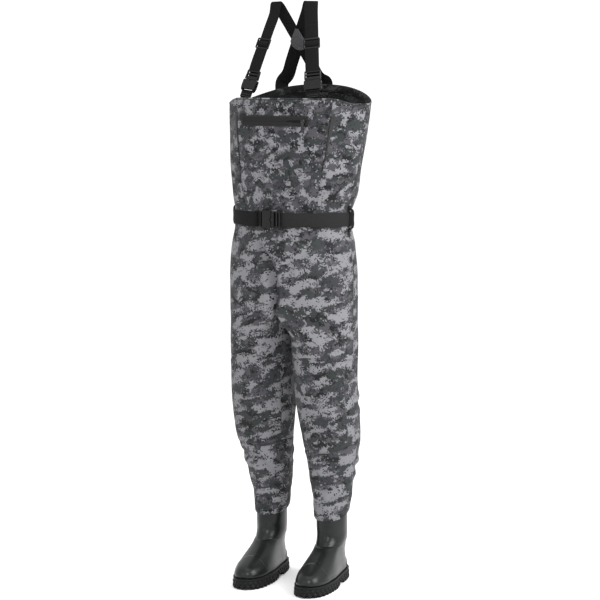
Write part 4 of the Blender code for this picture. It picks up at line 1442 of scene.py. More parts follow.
def make_pocket_welt(side, word):
    """The handwarmer pocket's opening beside the princess seam: a plain welt, and a dark strip on
    the cloth as painted shade of the slit.
    """
    low, high = POCKET_ENDS

    def at(z, away):
        return on_torso(side * (princess(z) + away / POCKET_RADIUS), z)

    grid = []
    for z in near_ends(WELT_LOW_Z, high, 24, 0.002):
        wide = 0.35 + 0.65 * smoothstep((z - 1.230) / 0.08)
        grid.append([at(z, o * wide) for o in near_ends(0.0012, 0.0150, 5, 0.001)])
    welt = slab(f"{word}_pocket_welt", grid, WELT, 0.0001, 0.0013, flip=side < 0)
    settle(welt, "root")
    # The slit is no opening: a dark strip laid on the cloth, painted shade that widens where the
    # opening gapes
    grid = []
    for z in near_ends(low - 0.004, high, 36, 0.002):
        gape = smoothstep((1.205 - z) / 0.012) * smoothstep((z - low + 0.006) / 0.01)
        gape = 0.0008 + 0.0026 * gape
        grid.append([at(z, o) for o in spread(-gape, 0.0006, 4)])
    slit = slab(f"{word}_pocket_slit", grid, SHADED_LINING, -0.0006, 0.0004, flip=side < 0)
    settle(slit, "root")
    tacks = []
    for k, z in enumerate((low + 0.001, high - 0.001)):
        line = [at(z, o) for o in spread(-0.003, 0.013, 6)]
        tacks.append(stitches(f"tack_{k}", line, 0.0014, THREAD, 0.0016, 0.0015, 0.0007))
    settle(join(tacks, f"{word}_pocket_tacks"), "root")


make_hem()
for side, word in SIDES:
    make_knee_patch(side, word)
    make_pocket_welt(side, word)
seam_threads()


# ---------------------------------------------------------------- buckles and sliders


def rounded(corners, radius, steps=4):
    """An outline with its corners rounded, each by radius or by as much as fits."""
    made = []
    count = len(corners)
    for k in range(count):
        here = Vector(corners[k])
        before, after = Vector(corners[k - 1]) - here, Vector(corners[(k + 1) % count]) - here
        cut = min(radius, before.length * 0.45, after.length * 0.45)
        first, last = here + before.normalized() * cut, here + after.normalized() * cut
        for t in spread(0.0, 1.0, steps):
            made.append(tuple(first * (1 - t) ** 2 + here * (2 * t * (1 - t)) + last * t * t))
    return made


def rectangle(x0, y0, x1, y1):
    return ((x0, y0), (x1, y0), (x1, y1), (x0, y1))


# Where webbing lies behind a plug's bars (up the plug, and outward), and round a slider's middle
# bar (up, outward, and the way it faces)
PLUG_WRAP = (
    (0.0075, -0.0006), (0.0105, -0.0008), (0.0165, -0.0008), (0.0225, -0.0006), (0.0270, 0.0004),
)
SLIDER_WRAP = (
    (0.0060, 0.0012, (0, -0.8, 0.6)),
    (0.0085, 0.0040, (0, -0.6, 0.8)),
    (0.0120, 0.0062, (0, -0.2, 1)),
    (0.0150, 0.0066, (0, 0, 1)),
    (0.0180, 0.0062, (0, 0.2, 1)),
    (0.0215, 0.0040, (0, 0.6, 0.8)),
    (0.0240, 0.0012, (0, 0.8, 0.6)),
)


def make_buckle(prefix, frame_at, arm_words, bodies):
    """A side-release buckle: x across, y from the socket to the plug, and z outward.

    bodies are the socket's, the plug's and those of the two arms, in the order of arm_words.
    """
    half, thick = BUCKLE_WIDTH / 2, BUCKLE_THICK
    edge = (
        (-half + 0.004, 0.0),
        (half - 0.004, 0.0),
        (half, 0.010),
        (half, SOCKET_LENGTH - 0.003),
        (half - 0.002, SOCKET_LENGTH),
        (0.006, SOCKET_LENGTH),
        (0.0, SOCKET_LENGTH - 0.006),
        (-0.006, SOCKET_LENGTH),
        (-half + 0.002, SOCKET_LENGTH),
        (-half, SOCKET_LENGTH - 0.003),
        (-half, 0.010),
    )
    slot = rounded(rectangle(-0.0200, 0.0035, 0.0200, 0.0075), 0.0012)
    socket = plate(f"{prefix}_socket_shell", [rounded(edge, 0.0035), slot], 0.0, thick, PLASTIC)
    wall = 0.0025
    mouth = half - 0.003
    cutters = [
        box((-mouth, 0.0105, wall), (mouth, SOCKET_LENGTH + 0.01, thick - wall)),
        box((-half - 0.01, 0.014, wall), (half + 0.01, 0.026, thick - wall)),
        box((-half - 0.001, -0.001, thick - 0.0030), (half + 0.001, 0.0022, thick + 0.01)),
    ]
    carve(socket, cutters)
    bevel(socket, 0.0006, 2)
    socket.data.transform(frame_at)
    settle(socket, bodies[0], [f"{prefix}_socket"])

    low, high = wall + 0.0005, thick - wall - 0.0005
    plug_start = SOCKET_LENGTH + CAD_CLEARANCE
    tongue = 0.005
    arm_root = half - 0.0085
    body = (
        (-tongue, 0.0125),
        (tongue, 0.0125),
        (tongue, plug_start),
        (arm_root, plug_start),
        (half - 0.001, plug_start + 0.006),
        (half - 0.002, BUCKLE_LENGTH),
        (-half + 0.002, BUCKLE_LENGTH),
        (-half + 0.001, plug_start + 0.006),
        (-arm_root, plug_start),
        (-tongue, plug_start),
    )
    slots = [
        rounded(rectangle(-0.0200, y, 0.0200, y + 0.0045), 0.0010)
        for y in (plug_start + 0.0095, plug_start + 0.0185)
    ]
    plug = plate(f"{prefix}_plug_body", [rounded(body, 0.0022), *slots], low, high, PLASTIC)
    edge = rectangle(-half + 0.0018, plug_start + 0.0010, half - 0.0018, plug_start + 0.0085)
    collar = plate("collar", [rounded(edge, 0.002)], low - 0.0012, high + 0.0016, PLASTIC)
    carve(plug, [collar], "UNION")
    bevel(plug, 0.0005, 2)
    plug.data.transform(frame_at)
    settle(plug, bodies[1], [f"{prefix}_plug"])
    # The webbing that turns round the plug's bars
    forward = frame_at.to_3x3() @ Vector((0, 0, 1))
    wrap = []
    for y, z in PLUG_WRAP:
        wrap.append((*(frame_at @ Vector((0, plug_start + y, low + z))), *forward))
    wrap = strap(f"{prefix}_plug_wrap", wrap, WEBBING_WIDTH - 0.0012, WEBBING * 0.7, WEB, 12)
    settle(wrap, bodies[1])

    for sign, word, body_name in zip((-1, 1), arm_words, bodies[2:]):
        inner, outer = mouth - 0.0065, mouth - 0.0008
        grip = [(sign * (outer + 0.0006 * (k % 2)), 0.0165 + 0.00115 * k) for k in range(7)]
        arm = (
            (sign * inner, plug_start - 0.0010),
            (sign * inner, 0.0170),
            (sign * (inner - 0.001), 0.0125),
            (sign * (inner + 0.0035), 0.0125),
            *grip,
            (sign * (inner + 0.0030), 0.0260),
            (sign * (inner + 0.0030), plug_start - 0.0010),
        )
        name = f"{prefix}_arm_{word}_lever"
        piece = plate(name, [arm], low + 0.0005, high - 0.0005, PLASTIC, 0.0003)
        piece.data.transform(frame_at)
        settle(piece, body_name, [f"{prefix}_arm_{word}"])


def bar_tacks(name, lines):
    """Dense tacks along lines of (point, normal)."""
    sizes = {"pitch": 0.0012, "length": 0.0013, "radius": 0.0006}
    parts = [stitches(f"{name}_{k}", line, **sizes) for k, line in enumerate(lines)]
    settle(join(parts, name), "root")


# ---------------------------------------------------------------- shoulder straps


def sided(direction, side):
    return Vector((side * direction.x, direction.y, direction.z))


def strap_foot(side):
    x = side * ANCHOR_X
    return Vector((x, torso_y(x, HEM_FRONT_Z, ANCHOR_INSIDE), HEM_FRONT_Z))


def on_strap(side, reach, out=0.0):
    """A spot up a strap's straight front, and off its face."""
    rise = sided(STRAP_RISE, side)
    return strap_foot(side) + rise * reach + squared(sided(STRAP_FACE, side), rise) * out


def back_line(side, share):
    """A spot on a strap's way down the back, which passes over or under the other strap."""
    point = SHOULDER_TOP[side].lerp(BACK_ANCHOR[side], share)
    return point + BACK_NORMAL * YOKE_HALF_GAP * side


def make_anchor(side, word):
    """The short doubled webbing that holds a shoulder buckle's socket inside the bib."""
    face, rise = sided(STRAP_FACE, side), sided(STRAP_RISE, side)
    x = side * ANCHOR_X
    top = BUCKLE_START + 0.0015
    path = [(x, torso_y(x, z, ANCHOR_INSIDE), z, *torso_normal(x, z)) for z in (1.325, 1.345)]
    path += [(*on_strap(side, reach), *face) for reach in (0.002, top)]
    piece = strap(f"{word}_anchor_webbing", path, WEBBING_WIDTH, WEBBING, WEB, 24)
    settle(piece, "root", [f"{word}_front_anchor"])
    outer = [(*on_strap(side, reach, 0.0030), *face) for reach in spread(0.001, top, 8)]
    fold = strap(f"{word}_anchor_fold", outer, WEBBING_WIDTH - 0.0006, WEBBING * 0.9, WEB)
    settle(fold, "root")
    normal = squared(face, rise)
    across = rise.cross(normal)
    lines = []
    for reach in (0.0035, 0.0095):
        middle = on_strap(side, reach, 0.0041)
        lines.append([(middle + across * a, normal) for a in spread(-0.015, 0.015, 12)])
    bar_tacks(f"{word}_anchor_tacks", lines)


def make_slider(side, word):
    """A three-bar slider, with the webbing that turns round its middle bar."""
    face, rise = sided(STRAP_FACE, side), sided(STRAP_RISE, side)
    slider_at = facing(on_strap(side, SLIDER_START), rise, face)
    edge = rounded(rectangle(-0.0235, 0.0, 0.0235, 0.030), 0.004, 6)
    holes = [rounded(rectangle(-0.0200, y, 0.0200, y + 0.0085), 0.0015) for y in (0.0040, 0.0175)]
    slider = plate(f"{word}_slider_frame", [edge, *holes], 0.0014, 0.0046, PLASTIC, 0.0007)
    path = [(a, 0.015, 0.0040, 0, 0, 1) for a in spread(-0.0205, 0.0205, 10)]
    bar = strap("bar", path, 0.0048, 0.0022, PLASTIC)
    slider = join([slider, bar], f"{word}_slider_frame")
    slider.data.shade_smooth()
    slider.data.set_sharp_from_angle(angle=math.radians(40))
    slider.data.transform(slider_at)
    settle(slider, f"{word}_strap_slider", [f"{word}_strap_slider"])
    turned = slider_at.to_3x3()
    wrap = [(*(slider_at @ Vector((0, y, z))), *(turned @ Vector(n))) for y, z, n in SLIDER_WRAP]
    piece = strap(f"{word}_slider_wrap", wrap, WEBBING_WIDTH - 0.0012, WEBBING * 0.9, WEB, 20)
    settle(piece, f"{word}_strap_slider")


def make_back_tacks(side, word):
    """The box stitch that holds a strap to the back hem."""
    end = BACK_ANCHOR[side]
    normal = torso_normal(end.x, end.z, back=True).normalized()
    level = Vector((normal.y, -normal.x, 0.0)).normalized()
    low, high, half = 1.3555, 1.3755, 0.0155

    def at(across, z):
        place = Vector((end.x, torso_y(end.x, z, BACK_STRAP_OUT, back=True), z))
        return place + normal * 0.0011 + level * across, normal

    lines = [[at(a, z) for a in spread(-half, half, 14)] for z in (low, high)]
    for sign in (-1, 1):
        slope = zip(spread(sign * half, -sign * half, 14), spread(low, high, 14))
        lines.append([at(a, z) for a, z in slope])
    bar_tacks(f"{word}_back_tacks", lines)


def make_suspender(side, word):
    """One shoulder strap, from its anchor inside the bib over the shoulder to the back hem."""
    face, rise = sided(STRAP_FACE, side), sided(STRAP_RISE, side)
    make_anchor(side, word)
    frame_at = facing(on_strap(side, BUCKLE_START, -BUCKLE_THICK / 2), rise, face)
    arms = ("inner", "outer") if side > 0 else ("outer", "inner")
    bodies = ["root", f"{word}_strap_end", *(f"{word}_buckle_arm_{arm}" for arm in arms)]
    make_buckle(f"{word}_shoulder_buckle", frame_at, arms, bodies)

    top = BUCKLE_START + BUCKLE_LENGTH
    low, high = top - 0.0050, SLIDER_START + 0.004
    path = (
        (low, 0.0008), (low + 0.004, 0.0024), (low + 0.012, 0.0034), (low + 0.032, 0.0040),
        (high - 0.015, 0.0036), (high - 0.004, 0.0030), (high, 0.0024),
    )
    path = [(*on_strap(side, reach, out), *face) for reach, out in path]
    piece = strap(f"{word}_adjust_webbing", path, WEBBING_WIDTH, WEBBING * 0.95, WEB, 30)
    ends = on_strap(side, top + 0.004), on_strap(side, SLIDER_START - 0.004)
    bend = (f"{word}_strap_slider", *ends)
    settle(piece, f"{word}_strap_end", [f"{word}_adjust_loop"], bend)
    make_slider(side, word)

    straight = (top - 0.0035, 0.12, 0.16, 0.20, STRAIGHT_END)
    path = [(*on_strap(side, reach), *face) for reach in straight]
    path.append((*SHOULDER_TOP[side], 0.0, 0.0, 1.0))
    path += [(*back_line(side, s), *BACK_NORMAL) for s in (0.12, 0.26, 0.40, 0.55, 0.70, 0.85)]
    end = BACK_ANCHOR[side]
    normal = torso_normal(end.x, end.z, back=True)
    for z in (1.404, 1.378, 1.352):
        path.append((end.x, torso_y(end.x, z, BACK_STRAP_OUT, back=True), z, *normal))
    piece = strap(f"{word}_shoulder_webbing", path, WEBBING_WIDTH, WEBBING, WEB, 150)
    over = ("root", (0.0, -0.030, 1.6), (0.0, 0.045, 1.6))
    settle(piece, f"{word}_strap_end", [f"{word}_shoulder_strap"], over)
    make_back_tacks(side, word)


def make_yoke():
    """The leather teardrops that hold the straps where they cross at the back."""
    crossing = (back_line(1, YOKE_AT_SHARE) + back_line(-1, YOKE_AT_SHARE)) / 2
    down = (BACK_ANCHOR[1] + BACK_ANCHOR[-1] - SHOULDER_TOP[1] - SHOULDER_TOP[-1]) / 2
    frame_at = facing(crossing, -down, BACK_NORMAL)
    arc = [math.radians(a) for a in range(-190, 11, 8)]

    def outline(inset=0.0):
        radius = 0.024 - inset
        shape = [(radius * math.cos(a), -0.008 + radius * math.sin(a)) for a in arc]
        tip = 0.036 - 1.4 * inset
        flank = []
        for t in (0.3, 0.6, 0.85, 1.0):
            across = 0.0236 - inset + (0.005 - 0.0236) * t * (1.15 - 0.15 * t)
            flank.append((across, -0.004 + (tip + 0.004) * t))
        return shape + flank + [(-x, y) for x, y in flank[::-1]]

    thick = 0.0016
    for name, low in (("back_yoke_outer", 0.0026), ("back_yoke_inner", -0.0042)):
        piece = plate(f"{name}_leather", [outline()], low, low + thick, LEATHER, 0.0005)
        piece.data.transform(frame_at)
        settle(piece, "root", [name])
        sign, height = (1, low + thick) if low > 0 else (-1, low)
        shape = outline(0.0030)
        normal = frame_at.to_3x3() @ Vector((0, 0, sign))
        line = [(frame_at @ Vector((x, y, height)), normal) for x, y in shape + shape[:1]]
        thread = stitches(f"{name}_stitching", line, 0.0, GREY_THREAD, 0.0030, 0.0021, 0.0003)
        settle(thread, "root")


for side, word in SIDES:
    make_suspender(side, word)
make_yoke()


# ---------------------------------------------------------------- belt


BELT_OUT = 0.0040


def belt_station(angle, out=BELT_OUT):
    """A spot on the belt's middle line, and the direction out of the belt there."""
    point = torso_point(angle, BELT_Z, out)
    ahead = torso_point(angle + 0.01, BELT_Z, out)
    tangent = (ahead - point).normalized()
    return (*point, tangent.y, -tangent.x, 0.0)


def belt_angle(x):
    """Where the belt is at x on its front."""
    half_width, _, cx, _, square = TORSO_TABLE.at(BELT_Z)
    return math.asin(signed_power((x - cx) / (half_width + BELT_OUT), square / 2))


KEEPER_PROFILE = (
    (0.0030, 0.0205), (0.0060, 0.0212), (0.0086, 0.0195), (0.0090, 0.0), (0.0086, -0.0195),
    (0.0060, -0.0212), (0.0030, -0.0205),
)
LOOP_PROFILE = (
    (0.0024, 0.036), (0.0030, 0.029), (0.0104, 0.0245), (0.0126, 0.018), (0.0128, 0.0),
    (0.0126, -0.018), (0.0104, -0.0245), (0.0030, -0.029), (0.0024, -0.036),
)


def arched(profile, place, out):
    """Stations of a band over the belt, from its profile of (proud, rise), facing its outside."""
    stations = []
    for i, (proud, rise) in enumerate(profile):
        previous, following = profile[max(i - 1, 0)], profile[min(i + 1, len(profile) - 1)]
        slope = Vector((previous[1] - following[1], following[0] - previous[0])).normalized()
        stations.append((*place(proud, rise), *(out * slope.x + Vector((0, 0, slope.y)))))
    return stations


def make_belt_loop(word, angle):
    """A stiff loop that stands off the waist round the belt, tacked above and below it."""
    centre = torso_point(angle, BELT_Z)
    out = Vector((math.sin(angle), -math.cos(angle), 0.0))

    def place(proud, rise):
        reach = torso_point(angle, BELT_Z + rise)
        further = max(0.0, Vector((reach.x - centre.x, reach.y - centre.y, 0)).dot(out))
        return centre + out * (proud + further) + Vector((0, 0, rise))

    stations = arched(LOOP_PROFILE, place, out)
    piece = strap(f"belt_loop_{word}_webbing", stations, 0.016, 0.0015, WEB, 60)
    settle(piece, "root", [f"belt_loop_{word}"])
    level = Vector((out.y, -out.x, 0.0))
    lines = []
    for rise in (0.0325, -0.0325):
        spot = place(0.0036, rise)
        lines.append([(spot + level * a, out) for a in spread(-0.0068, 0.0068, 8)])
    bar_tacks(f"belt_loop_{word}_tacks", lines)


def make_belt():
    start = BELT_BUCKLE_X + 0.0045
    end = BELT_BUCKLE_X + BUCKLE_LENGTH - 0.0035
    loop_at = math.radians(88)
    front = [belt_station(a) for a in spread(belt_angle(end), loop_at, 70)]
    piece = strap("belt_front_webbing", front, WEBBING_WIDTH, WEBBING, BELT_WEB)
    bend = ("root", (0.035, 0.0, BELT_Z), (0.150, 0.0, BELT_Z))
    settle(piece, "belt_strap_end", ["belt_webbing"], bend)
    rest = [belt_station(a) for a in spread(loop_at - 0.02, 2 * math.pi + belt_angle(start), 190)]
    piece = strap("belt_back_webbing", rest, WEBBING_WIDTH, WEBBING, BELT_WEB)
    settle(piece, "root")
    tail = []
    low, high = belt_angle(-0.152), belt_angle(start - 0.001)
    for t in spread(0, 1, 50):
        lift = 0.0062 + 0.0008 * math.sin(math.pi * t) - 0.0012 * smoothstep((t - 0.93) / 0.07)
        tail.append(belt_station(low + (high - low) * t, lift))
    # The tail takes the darker webbing: painted shade
    piece = strap("belt_tail_webbing", tail, WEBBING_WIDTH - 0.0008, WEBBING, SHADED_TAIL_WEB)
    settle(piece, "root")

    centre = belt_angle(-0.0585)
    out = Vector(belt_station(centre)[3:6]).normalized()

    def keeper_place(proud, rise):
        return torso_point(centre, BELT_Z, proud) + Vector((0, 0, rise))

    keeper = arched(KEEPER_PROFILE, keeper_place, out)
    settle(strap("belt_keeper", keeper, 0.010, 0.0014, WEB, 40), "root")

    origin = Vector((BELT_BUCKLE_X, torso_y(0.0, BELT_Z) - 0.0045, BELT_Z))
    frame_at = facing(origin, Vector((1, 0, 0)), Vector((0, -1, 0)))
    bodies = ["root", "belt_strap_end", "belt_arm_upper", "belt_arm_lower"]
    make_buckle("belt_buckle", frame_at, ("upper", "lower"), bodies)
    for word, angle in (("left", math.pi / 2), ("right", -math.pi / 2), ("back", math.pi)):
        make_belt_loop(word, angle)


make_belt()


# ---------------------------------------------------------------- chest zip


def zip_centre():
    x = TORSO_TABLE.at(ZIP_Z)[2]
    return Vector((x, torso_y(x, ZIP_Z) + ZIP_RADIUS, ZIP_Z))


def zip_place(x, z, out):
    """A point over the chest on the zip's arc, and the arc's outward direction there."""
    centre = zip_centre()
    angle = math.asin((x - centre.x) / ZIP_RADIUS)
    outward = Vector((math.sin(angle), -math.cos(angle), 0.0))
    return Vector((centre.x, centre.y, z)) + outward * (ZIP_RADIUS + out), outward


# Heights across half of the zip's band
ZIP_RISES = (
    0.0006, 0.0016, 0.0030, 0.0044, 0.0060, 0.0080, 0.0088, 0.0100, ZIP_HALF_HEIGHT - 0.0008,
    ZIP_HALF_HEIGHT,
)


def zip_out(height, parted):
    """How far the band stands out: two welts that meet over the coil, and a step at each edge."""
    h = abs(height)
    if h > ZIP_HALF_HEIGHT - 0.0009:
        return 0.0027
    welt = 0.0017 * mound(h - 0.0030 - 0.0017 * parted, 0.0026 - 0.0009 * parted)
    groove = 0.0009 * mound(h, 0.0010) * (1 - parted)
    step = 0.0005 * mound(h - 0.0094, 0.0006)
    return 0.0033 + welt + step - groove


def make_zip_band():
    heights = [-h for h in ZIP_RISES[::-1]] + list(ZIP_RISES)
    rings = []
    for x in near_ends(*ZIP_ENDS, 110, 0.0012):
        parted = smoothstep((x - 0.030) / 0.030) * (1 - smoothstep((x - 0.088) / 0.006))
        over = [zip_place(x, ZIP_Z + h, zip_out(h, parted))[0] for h in heights]
        under = [zip_place(x, ZIP_Z + h, 0.0012)[0] for h in heights]
        rings.append(over + under[::-1])
    piece = loft("chest_zip_band", rings, TAPE, flip=True)
    settle(piece, "root", ["chest_zip_tape"])


def make_zip_coil():
    """The coil where the welts part: turns from each side that meet in the middle."""
    vertices, faces = [], []
    for k in range(34):
        x = 0.036 + 0.00145 * k
        for sign in (-1, 1):
            lean = 0.0006 * sign
            turn = ((-lean, 0.0030, 0.0042), (0.0, 0.0010, 0.0052), (lean, -0.0006, 0.0044))
            base = len(vertices)
            outward = zip_place(x - lean, ZIP_Z, 0.0)[1]
            along = Vector((0, 0, 1)).cross(outward)
            for aside, rise, out in turn:
                centre = zip_place(x + aside, ZIP_Z + sign * rise, out)[0]
                for a, b in ((-1, 0), (0, -1), (1, 0), (0, 1)):
                    vertices.append(centre + (along * a + outward * b) * 0.00045)
            faces += tube_faces(3, 4, base)
            for cap in ((3, 2, 1, 0), (8, 9, 10, 11)):
                faces.append(tuple(base + i for i in cap))
    coil = new_piece("chest_zip_coil", vertices, faces, PLASTIC)
    settle(coil, "root")


def make_chest_zip():
    """A coated zip, with a line of stitches along each edge."""
    make_zip_band()
    make_zip_coil()
    xs = spread(ZIP_ENDS[0] + 0.002, ZIP_ENDS[1] - 0.002, 60)
    for sign, word in ((-1, "lower"), (1, "upper")):
        z = ZIP_Z + sign * (ZIP_HALF_HEIGHT - 0.0022)
        line = [zip_place(x, z, 0.0036) for x in xs]
        settle(stitches(f"chest_zip_stitching_{word}", line), "root")


make_chest_zip()


# ---------------------------------------------------------------- boots


def folded(turn):
    """How far round a boot from its toe, either way: 0 at the toe, 0.5 at the heel."""
    turn %= 1.0
    return min(turn, 1.0 - turn)


BOOT_GIRTH = 0.48


def from_line(f, z, start, end):
    """How far a spot is from a line on the boot's side, in metres. f is in turns."""
    p = Vector(((f - start[0]) * BOOT_GIRTH, z - start[1]))
    d = Vector(((end[0] - start[0]) * BOOT_GIRTH, end[1] - start[1]))
    t = max(0.0, min(1.0, p.dot(d) / d.length_squared))
    return (p - d * t).length


# Lines of the mould, each from (turns from the toe, height) to the same
SIDE_GROOVES = (
    ((0.325, 0.112), (0.450, 0.136)),
    ((0.325, 0.090), (0.450, 0.114)),
)
HEEL_GROOVE = ((0.428, 0.055), (0.424, 0.158))
SHIN_BAR = ((0.0, 0.1495), (0.022, 0.1495))


def boot_relief(turn, z):
    """What the mould adds to the boot's plain shape."""
    f = folded(turn)
    # The thicker vamp over the toes, with a groove above it
    vamp = 1 - smoothstep((f - 0.15) / 0.08)
    out = 0.0014 * vamp * (1 - smoothstep((z - 0.1075) / 0.0024))
    out -= 0.0010 * vamp * mound(z - 0.1110, 0.0018)
    # Slanted grooves on the sides, each with a lip above it
    for start, end in SIDE_GROOVES:
        out -= 0.0017 * mound(from_line(f, z, start, end), 0.0019)
        out += 0.0010 * mound(from_line(f, z - 0.0045, start, end), 0.0026)
    # The upright groove before the heel, and a short raised bar on the shin
    out -= 0.0014 * mound(from_line(f, z, *HEEL_GROOVE), 0.0017)
    out += 0.0010 * mound(from_line(f, z, *SHIN_BAR), 0.0018)
    # The strip that covers the sole's joint
    out += 0.0012 * smoothstep((z - 0.0315) / 0.001) * (1 - smoothstep((z - 0.0400) / 0.0022))
    # Slight unevenness, and the ankle's shallow dent
    angle = 2 * math.pi * turn
    around = Vector((math.cos(angle), math.sin(angle), z * 9.0))
    out += 0.0008 * noise.noise(around * 1.7) * smoothstep((z - 0.045) / 0.02)
    return out - 0.0016 * mound(z - 0.128, 0.018) * mound(f - 0.13, 0.07)


def boot_place(turn, z, out=0.0):
    """A point on a boot and the direction out of it there, x outward from its middle."""
    step_turn, step_z = 0.004, 0.002
    ahead, behind = boot_local(turn + step_turn, z), boot_local(turn - step_turn, z)
    above, below = boot_local(turn, z + step_z), boot_local(turn, z - step_z)
    normal = (ahead - behind).cross(above - below)
    if normal.length < 1e-12:
        normal = Vector((0.0, -1.0, 0.0))
    normal.normalize()
    return boot_local(turn, z) + normal * (boot_relief(turn, z) + out), normal


def faced_out(piece):
    """Make a closed piece's faces look out."""
    bm = bmesh.new()
    bm.from_mesh(piece.data)
    bmesh.ops.recalc_face_normals(bm, faces=bm.faces)
    bm.to_mesh(piece.data)
    bm.free()
    return piece


def both_sides(name, rings, finish, nodes):
    """A piece of each boot from its rings, x outward from the boot's middle."""
    for side, word in SIDES:
        points = [[planted(side, p) for p in ring] for ring in rings]
        piece = faced_out(loft(f"{word}_{name}", points, finish))
        settle(piece, f"{word}_lower_leg", [f"{word}_{node}" for node in nodes])


BOOT_THICK = 0.0030
# Heights of the boot's inner wall, from the top down
INNER_RISES = (
    0.2492, 0.240, 0.215, 0.18, 0.15, 0.13, 0.115, 0.100, 0.088, 0.076, 0.064, 0.052, 0.042, 0.036,
)


def make_uppers():
    floor = SOLE_TOP_Z + 0.0005
    turns = [i / 264 for i in range(264)]
    heights = near_ends(floor, 0.250, 116, 0.0010)
    rings = [[boot_place(t, z)[0] for t in turns] for z in heights]
    rings += [[boot_local(t, z, -BOOT_THICK) for t in turns] for z in INNER_RISES]
    both_sides("boot_rubber", rings, RUBBER, ["boot_upper"])

    def cap_top(share):
        return 0.040 + 0.040 * max(math.cos(share * math.pi / 2), 0.0) ** 0.7

    def counter_top(share):
        return 0.041 + 0.016 * max(math.cos(share * math.pi / 2), 0.0) ** 0.5

    for name, middle, reach, top in (
        ("toe_cap", 0.0, 0.185, cap_top),
        ("heel_counter", 0.5, 0.150, counter_top),
    ):
        for side, word in SIDES:
            grid = []
            for rise in near_ends(0.0, 1.0, 18, 0.03):
                row = []
                for share in near_ends(-1.0, 1.0, 60, 0.008):
                    turn = middle + reach * share
                    z = floor + 0.001 + (top(share) - floor - 0.001) * rise
                    point, normal = boot_place(turn, z)
                    at = planted(side, point)
                    row.append((at, planted(side, point + normal * 0.001) - at))
                grid.append(row)
            piece = faced_out(slab(f"{word}_{name}_overlay", grid, RUBBER, 0.2, 1.0, edge=0.3))
            settle(piece, f"{word}_lower_leg", [f"{word}_{name}"])


SOLE_TOE, SOLE_HEEL = -0.172, 0.138
SOLE_HALF_WIDTH = 0.0545
SOLE_SQUARENESS = 3.4
SOLE_POINTS = 440
SIDE_LUGS = 40
TREAD_PITCH = 0.0155
TREAD_DEPTH = 0.0038
SIDE_LUG_DEPTH = 0.0030
# The sole's edge from the ground up: height, how far out, share of the side lugs' gaps, and
# their phase
SOLE_EDGE = (
    (0.0008, -0.0010, 1.0, 0.0),
    (0.0024, 0.0, 1.0, 0.0),
    (0.0070, 0.0, 1.0, 0.0),
    (0.0100, -0.0006, 1.0, 0.0),
    (0.0116, -0.0028, 0.2, 0.0),
    (0.0132, -0.0012, 0.7, 0.5),
    (0.0150, -0.0002, 1.0, 0.5),
    (0.0182, -0.0004, 1.0, 0.5),
    (0.0204, -0.0012, 0.8, 0.5),
    (0.0222, -0.0034, 0.0, 0.5),
    (0.0238, -0.0036, 0.0, 0.5),
    (0.0250, -0.0016, 0.0, 0.5),
    (0.0284, -0.0012, 0.0, 0.5),
    (0.0299, -0.0026, 0.0, 0.5),
)


def sole_half_width(y):
    share = min(max((y - SOLE_TOE) / (SOLE_HEEL - SOLE_TOE), 0.0), 1.0)
    round_end = math.sqrt(max(1 - abs(2 * share - 1) ** SOLE_SQUARENESS, 0.0))
    return SOLE_HALF_WIDTH * round_end * (1 - 0.13 * smoothstep((y + 0.06) / 0.10))


def sole_low(y):
    """How far the underside is off the ground: at the arch and the toe."""
    share = (y - SOLE_TOE) / (SOLE_HEEL - SOLE_TOE)
    arch = 0.010 * smoothstep((share - 0.47) / 0.05) * (1 - smoothstep((share - 0.61) / 0.05))
    return max(arch, 0.003 * smoothstep((0.10 - share) / 0.10))


def sole_outline():
    """Points evenly spaced round the sole, from the toe by the outer side."""
    dense = []
    middle, half = (SOLE_TOE + SOLE_HEEL) / 2, (SOLE_HEEL - SOLE_TOE) / 2
    fine = 2400
    for k in range(fine):
        angle = 2 * math.pi * k / fine
        y = middle - half * signed_power(math.cos(angle), 2 / SOLE_SQUARENESS)
        dense.append(Vector((math.copysign(sole_half_width(y), math.sin(angle)), y)))
    dense.append(dense[0])
    reach = [0.0]
    for first, second in zip(dense, dense[1:]):
        reach.append(reach[-1] + (second - first).length)
    outline, k = [], 0
    for i in range(SOLE_POINTS):
        at = reach[-1] * i / SOLE_POINTS
        while reach[k + 1] < at:
            k += 1
        outline.append(dense[k].lerp(dense[k + 1], (at - reach[k]) / (reach[k + 1] - reach[k])))
    return outline


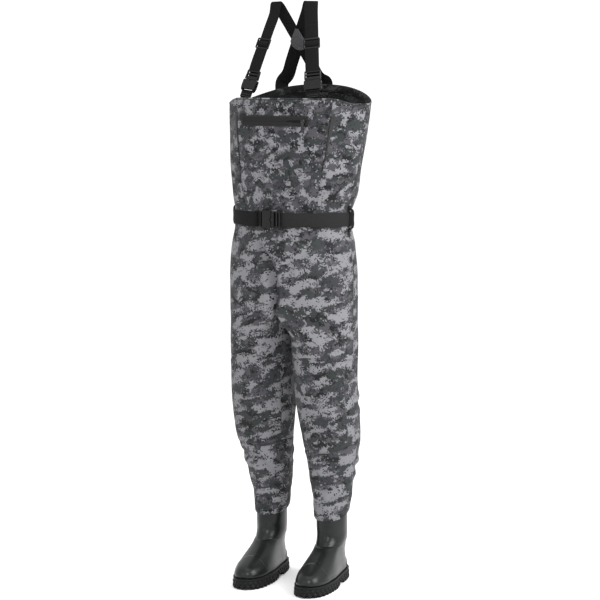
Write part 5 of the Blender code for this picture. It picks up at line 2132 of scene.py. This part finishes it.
def make_outsoles():
    """Ground lugs cut across the tread, side lugs round the edge and a smooth flange on top."""
    outline = sole_outline()
    everywhere = range(SOLE_POINTS)
    outs = []
    for i in everywhere:
        along = outline[(i + 1) % SOLE_POINTS] - outline[i - 1]
        outs.append(Vector((along.y, -along.x)).normalized())

    def place(i, scale, out, z):
        centre = Vector((0.0, outline[i].y * 0.86 - 0.002))
        flat = centre.lerp(outline[i], scale) + outs[i] * out
        return Vector((flat.x, flat.y, z))

    def lug(i, phase=0.0):
        """1 on a side lug and 0 in the gap between two."""
        wave = math.cos(2 * math.pi * (SIDE_LUGS * i / SOLE_POINTS + phase))
        return smoothstep((wave + 0.60) / 0.8)

    def tread(i, scale):
        """1 on a ground lug and 0 between: slanted bars inside, and the side lugs' feet outside."""
        point = place(i, scale, 0.0, 0.0)
        if scale > 0.72:
            return lug(i)
        phase = (point.y + 0.30 * abs(point.x)) / TREAD_PITCH % 1.0
        bar = smoothstep((0.5 - abs(phase - 0.5)) / 0.10 - 1.4)
        return bar * smoothstep((abs(point.x) - 0.0022) / 0.001)

    rings = []
    for scale in (0.02, 0.16, 0.30, 0.44, 0.56, 0.66, 0.715, 0.725, 0.84, 0.93, 0.975):
        ring = []
        for i in everywhere:
            deep = TREAD_DEPTH * (1 - tread(i, scale))
            ring.append(place(i, scale, 0.0, sole_low(outline[i].y) + deep))
        rings.append(ring)
    for height, push, share, phase in SOLE_EDGE:
        ring = []
        for i in everywhere:
            low = sole_low(outline[i].y)
            z = low + height * (SOLE_TOP_Z - low) / SOLE_TOP_Z
            if height < 0.003:
                z += 0.0032 * (1 - lug(i)) * (1 - height / 0.003)
            cut = -SIDE_LUG_DEPTH * (1 - lug(i, phase)) * share
            spot = Vector((outline[i].x * 90, outline[i].y * 90, height * 400))
            rough = 0.0006 * noise.noise(spot) * (height < 0.022)
            ring.append(place(i, 1.0, push + cut + rough, z))
        rings.append(ring)
    rings += [[place(i, scale, 0.0, SOLE_TOP_Z) for i in everywhere] for scale in (0.90, 0.05)]
    both_sides("outsole_lugs", rings, SOLE, ["outsole"])


def make_insoles():
    edge = [boot_local(i / 48, SOLE_TOP_Z, -0.0075) for i in range(48)]
    heights = ((0.0338, 0.002), (0.0344, 0.0), (0.0372, 0.0), (0.0378, 0.002))
    middle = sum(edge, Vector()) / len(edge)
    rings = []
    for z, inset in heights:
        ring = [p + (middle - p).normalized() * inset for p in edge]
        rings.append([Vector((p.x, p.y, z)) for p in ring])
    both_sides("insole_felt", rings, FELT, ["insole"])


make_uppers()
make_outsoles()
make_insoles()


# ---------------------------------------------------------------- pieces that keep their CAD shape


def finish_node(name, finish):
    """Give a CAD piece that stays a better material, without touching its shape."""
    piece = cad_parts[name]
    for slot in piece.material_slots:
        slot.link = "OBJECT"
        slot.material = finish


for name in ("left_handwarmer_pocket", "right_handwarmer_pocket", "chest_pocket_bag"):
    finish_node(name, POCKET)
finish_node("crotch_gusset", CAMO_PATCH)
for name in ("zip_slider", "zip_pull"):
    finish_node(name, METAL)
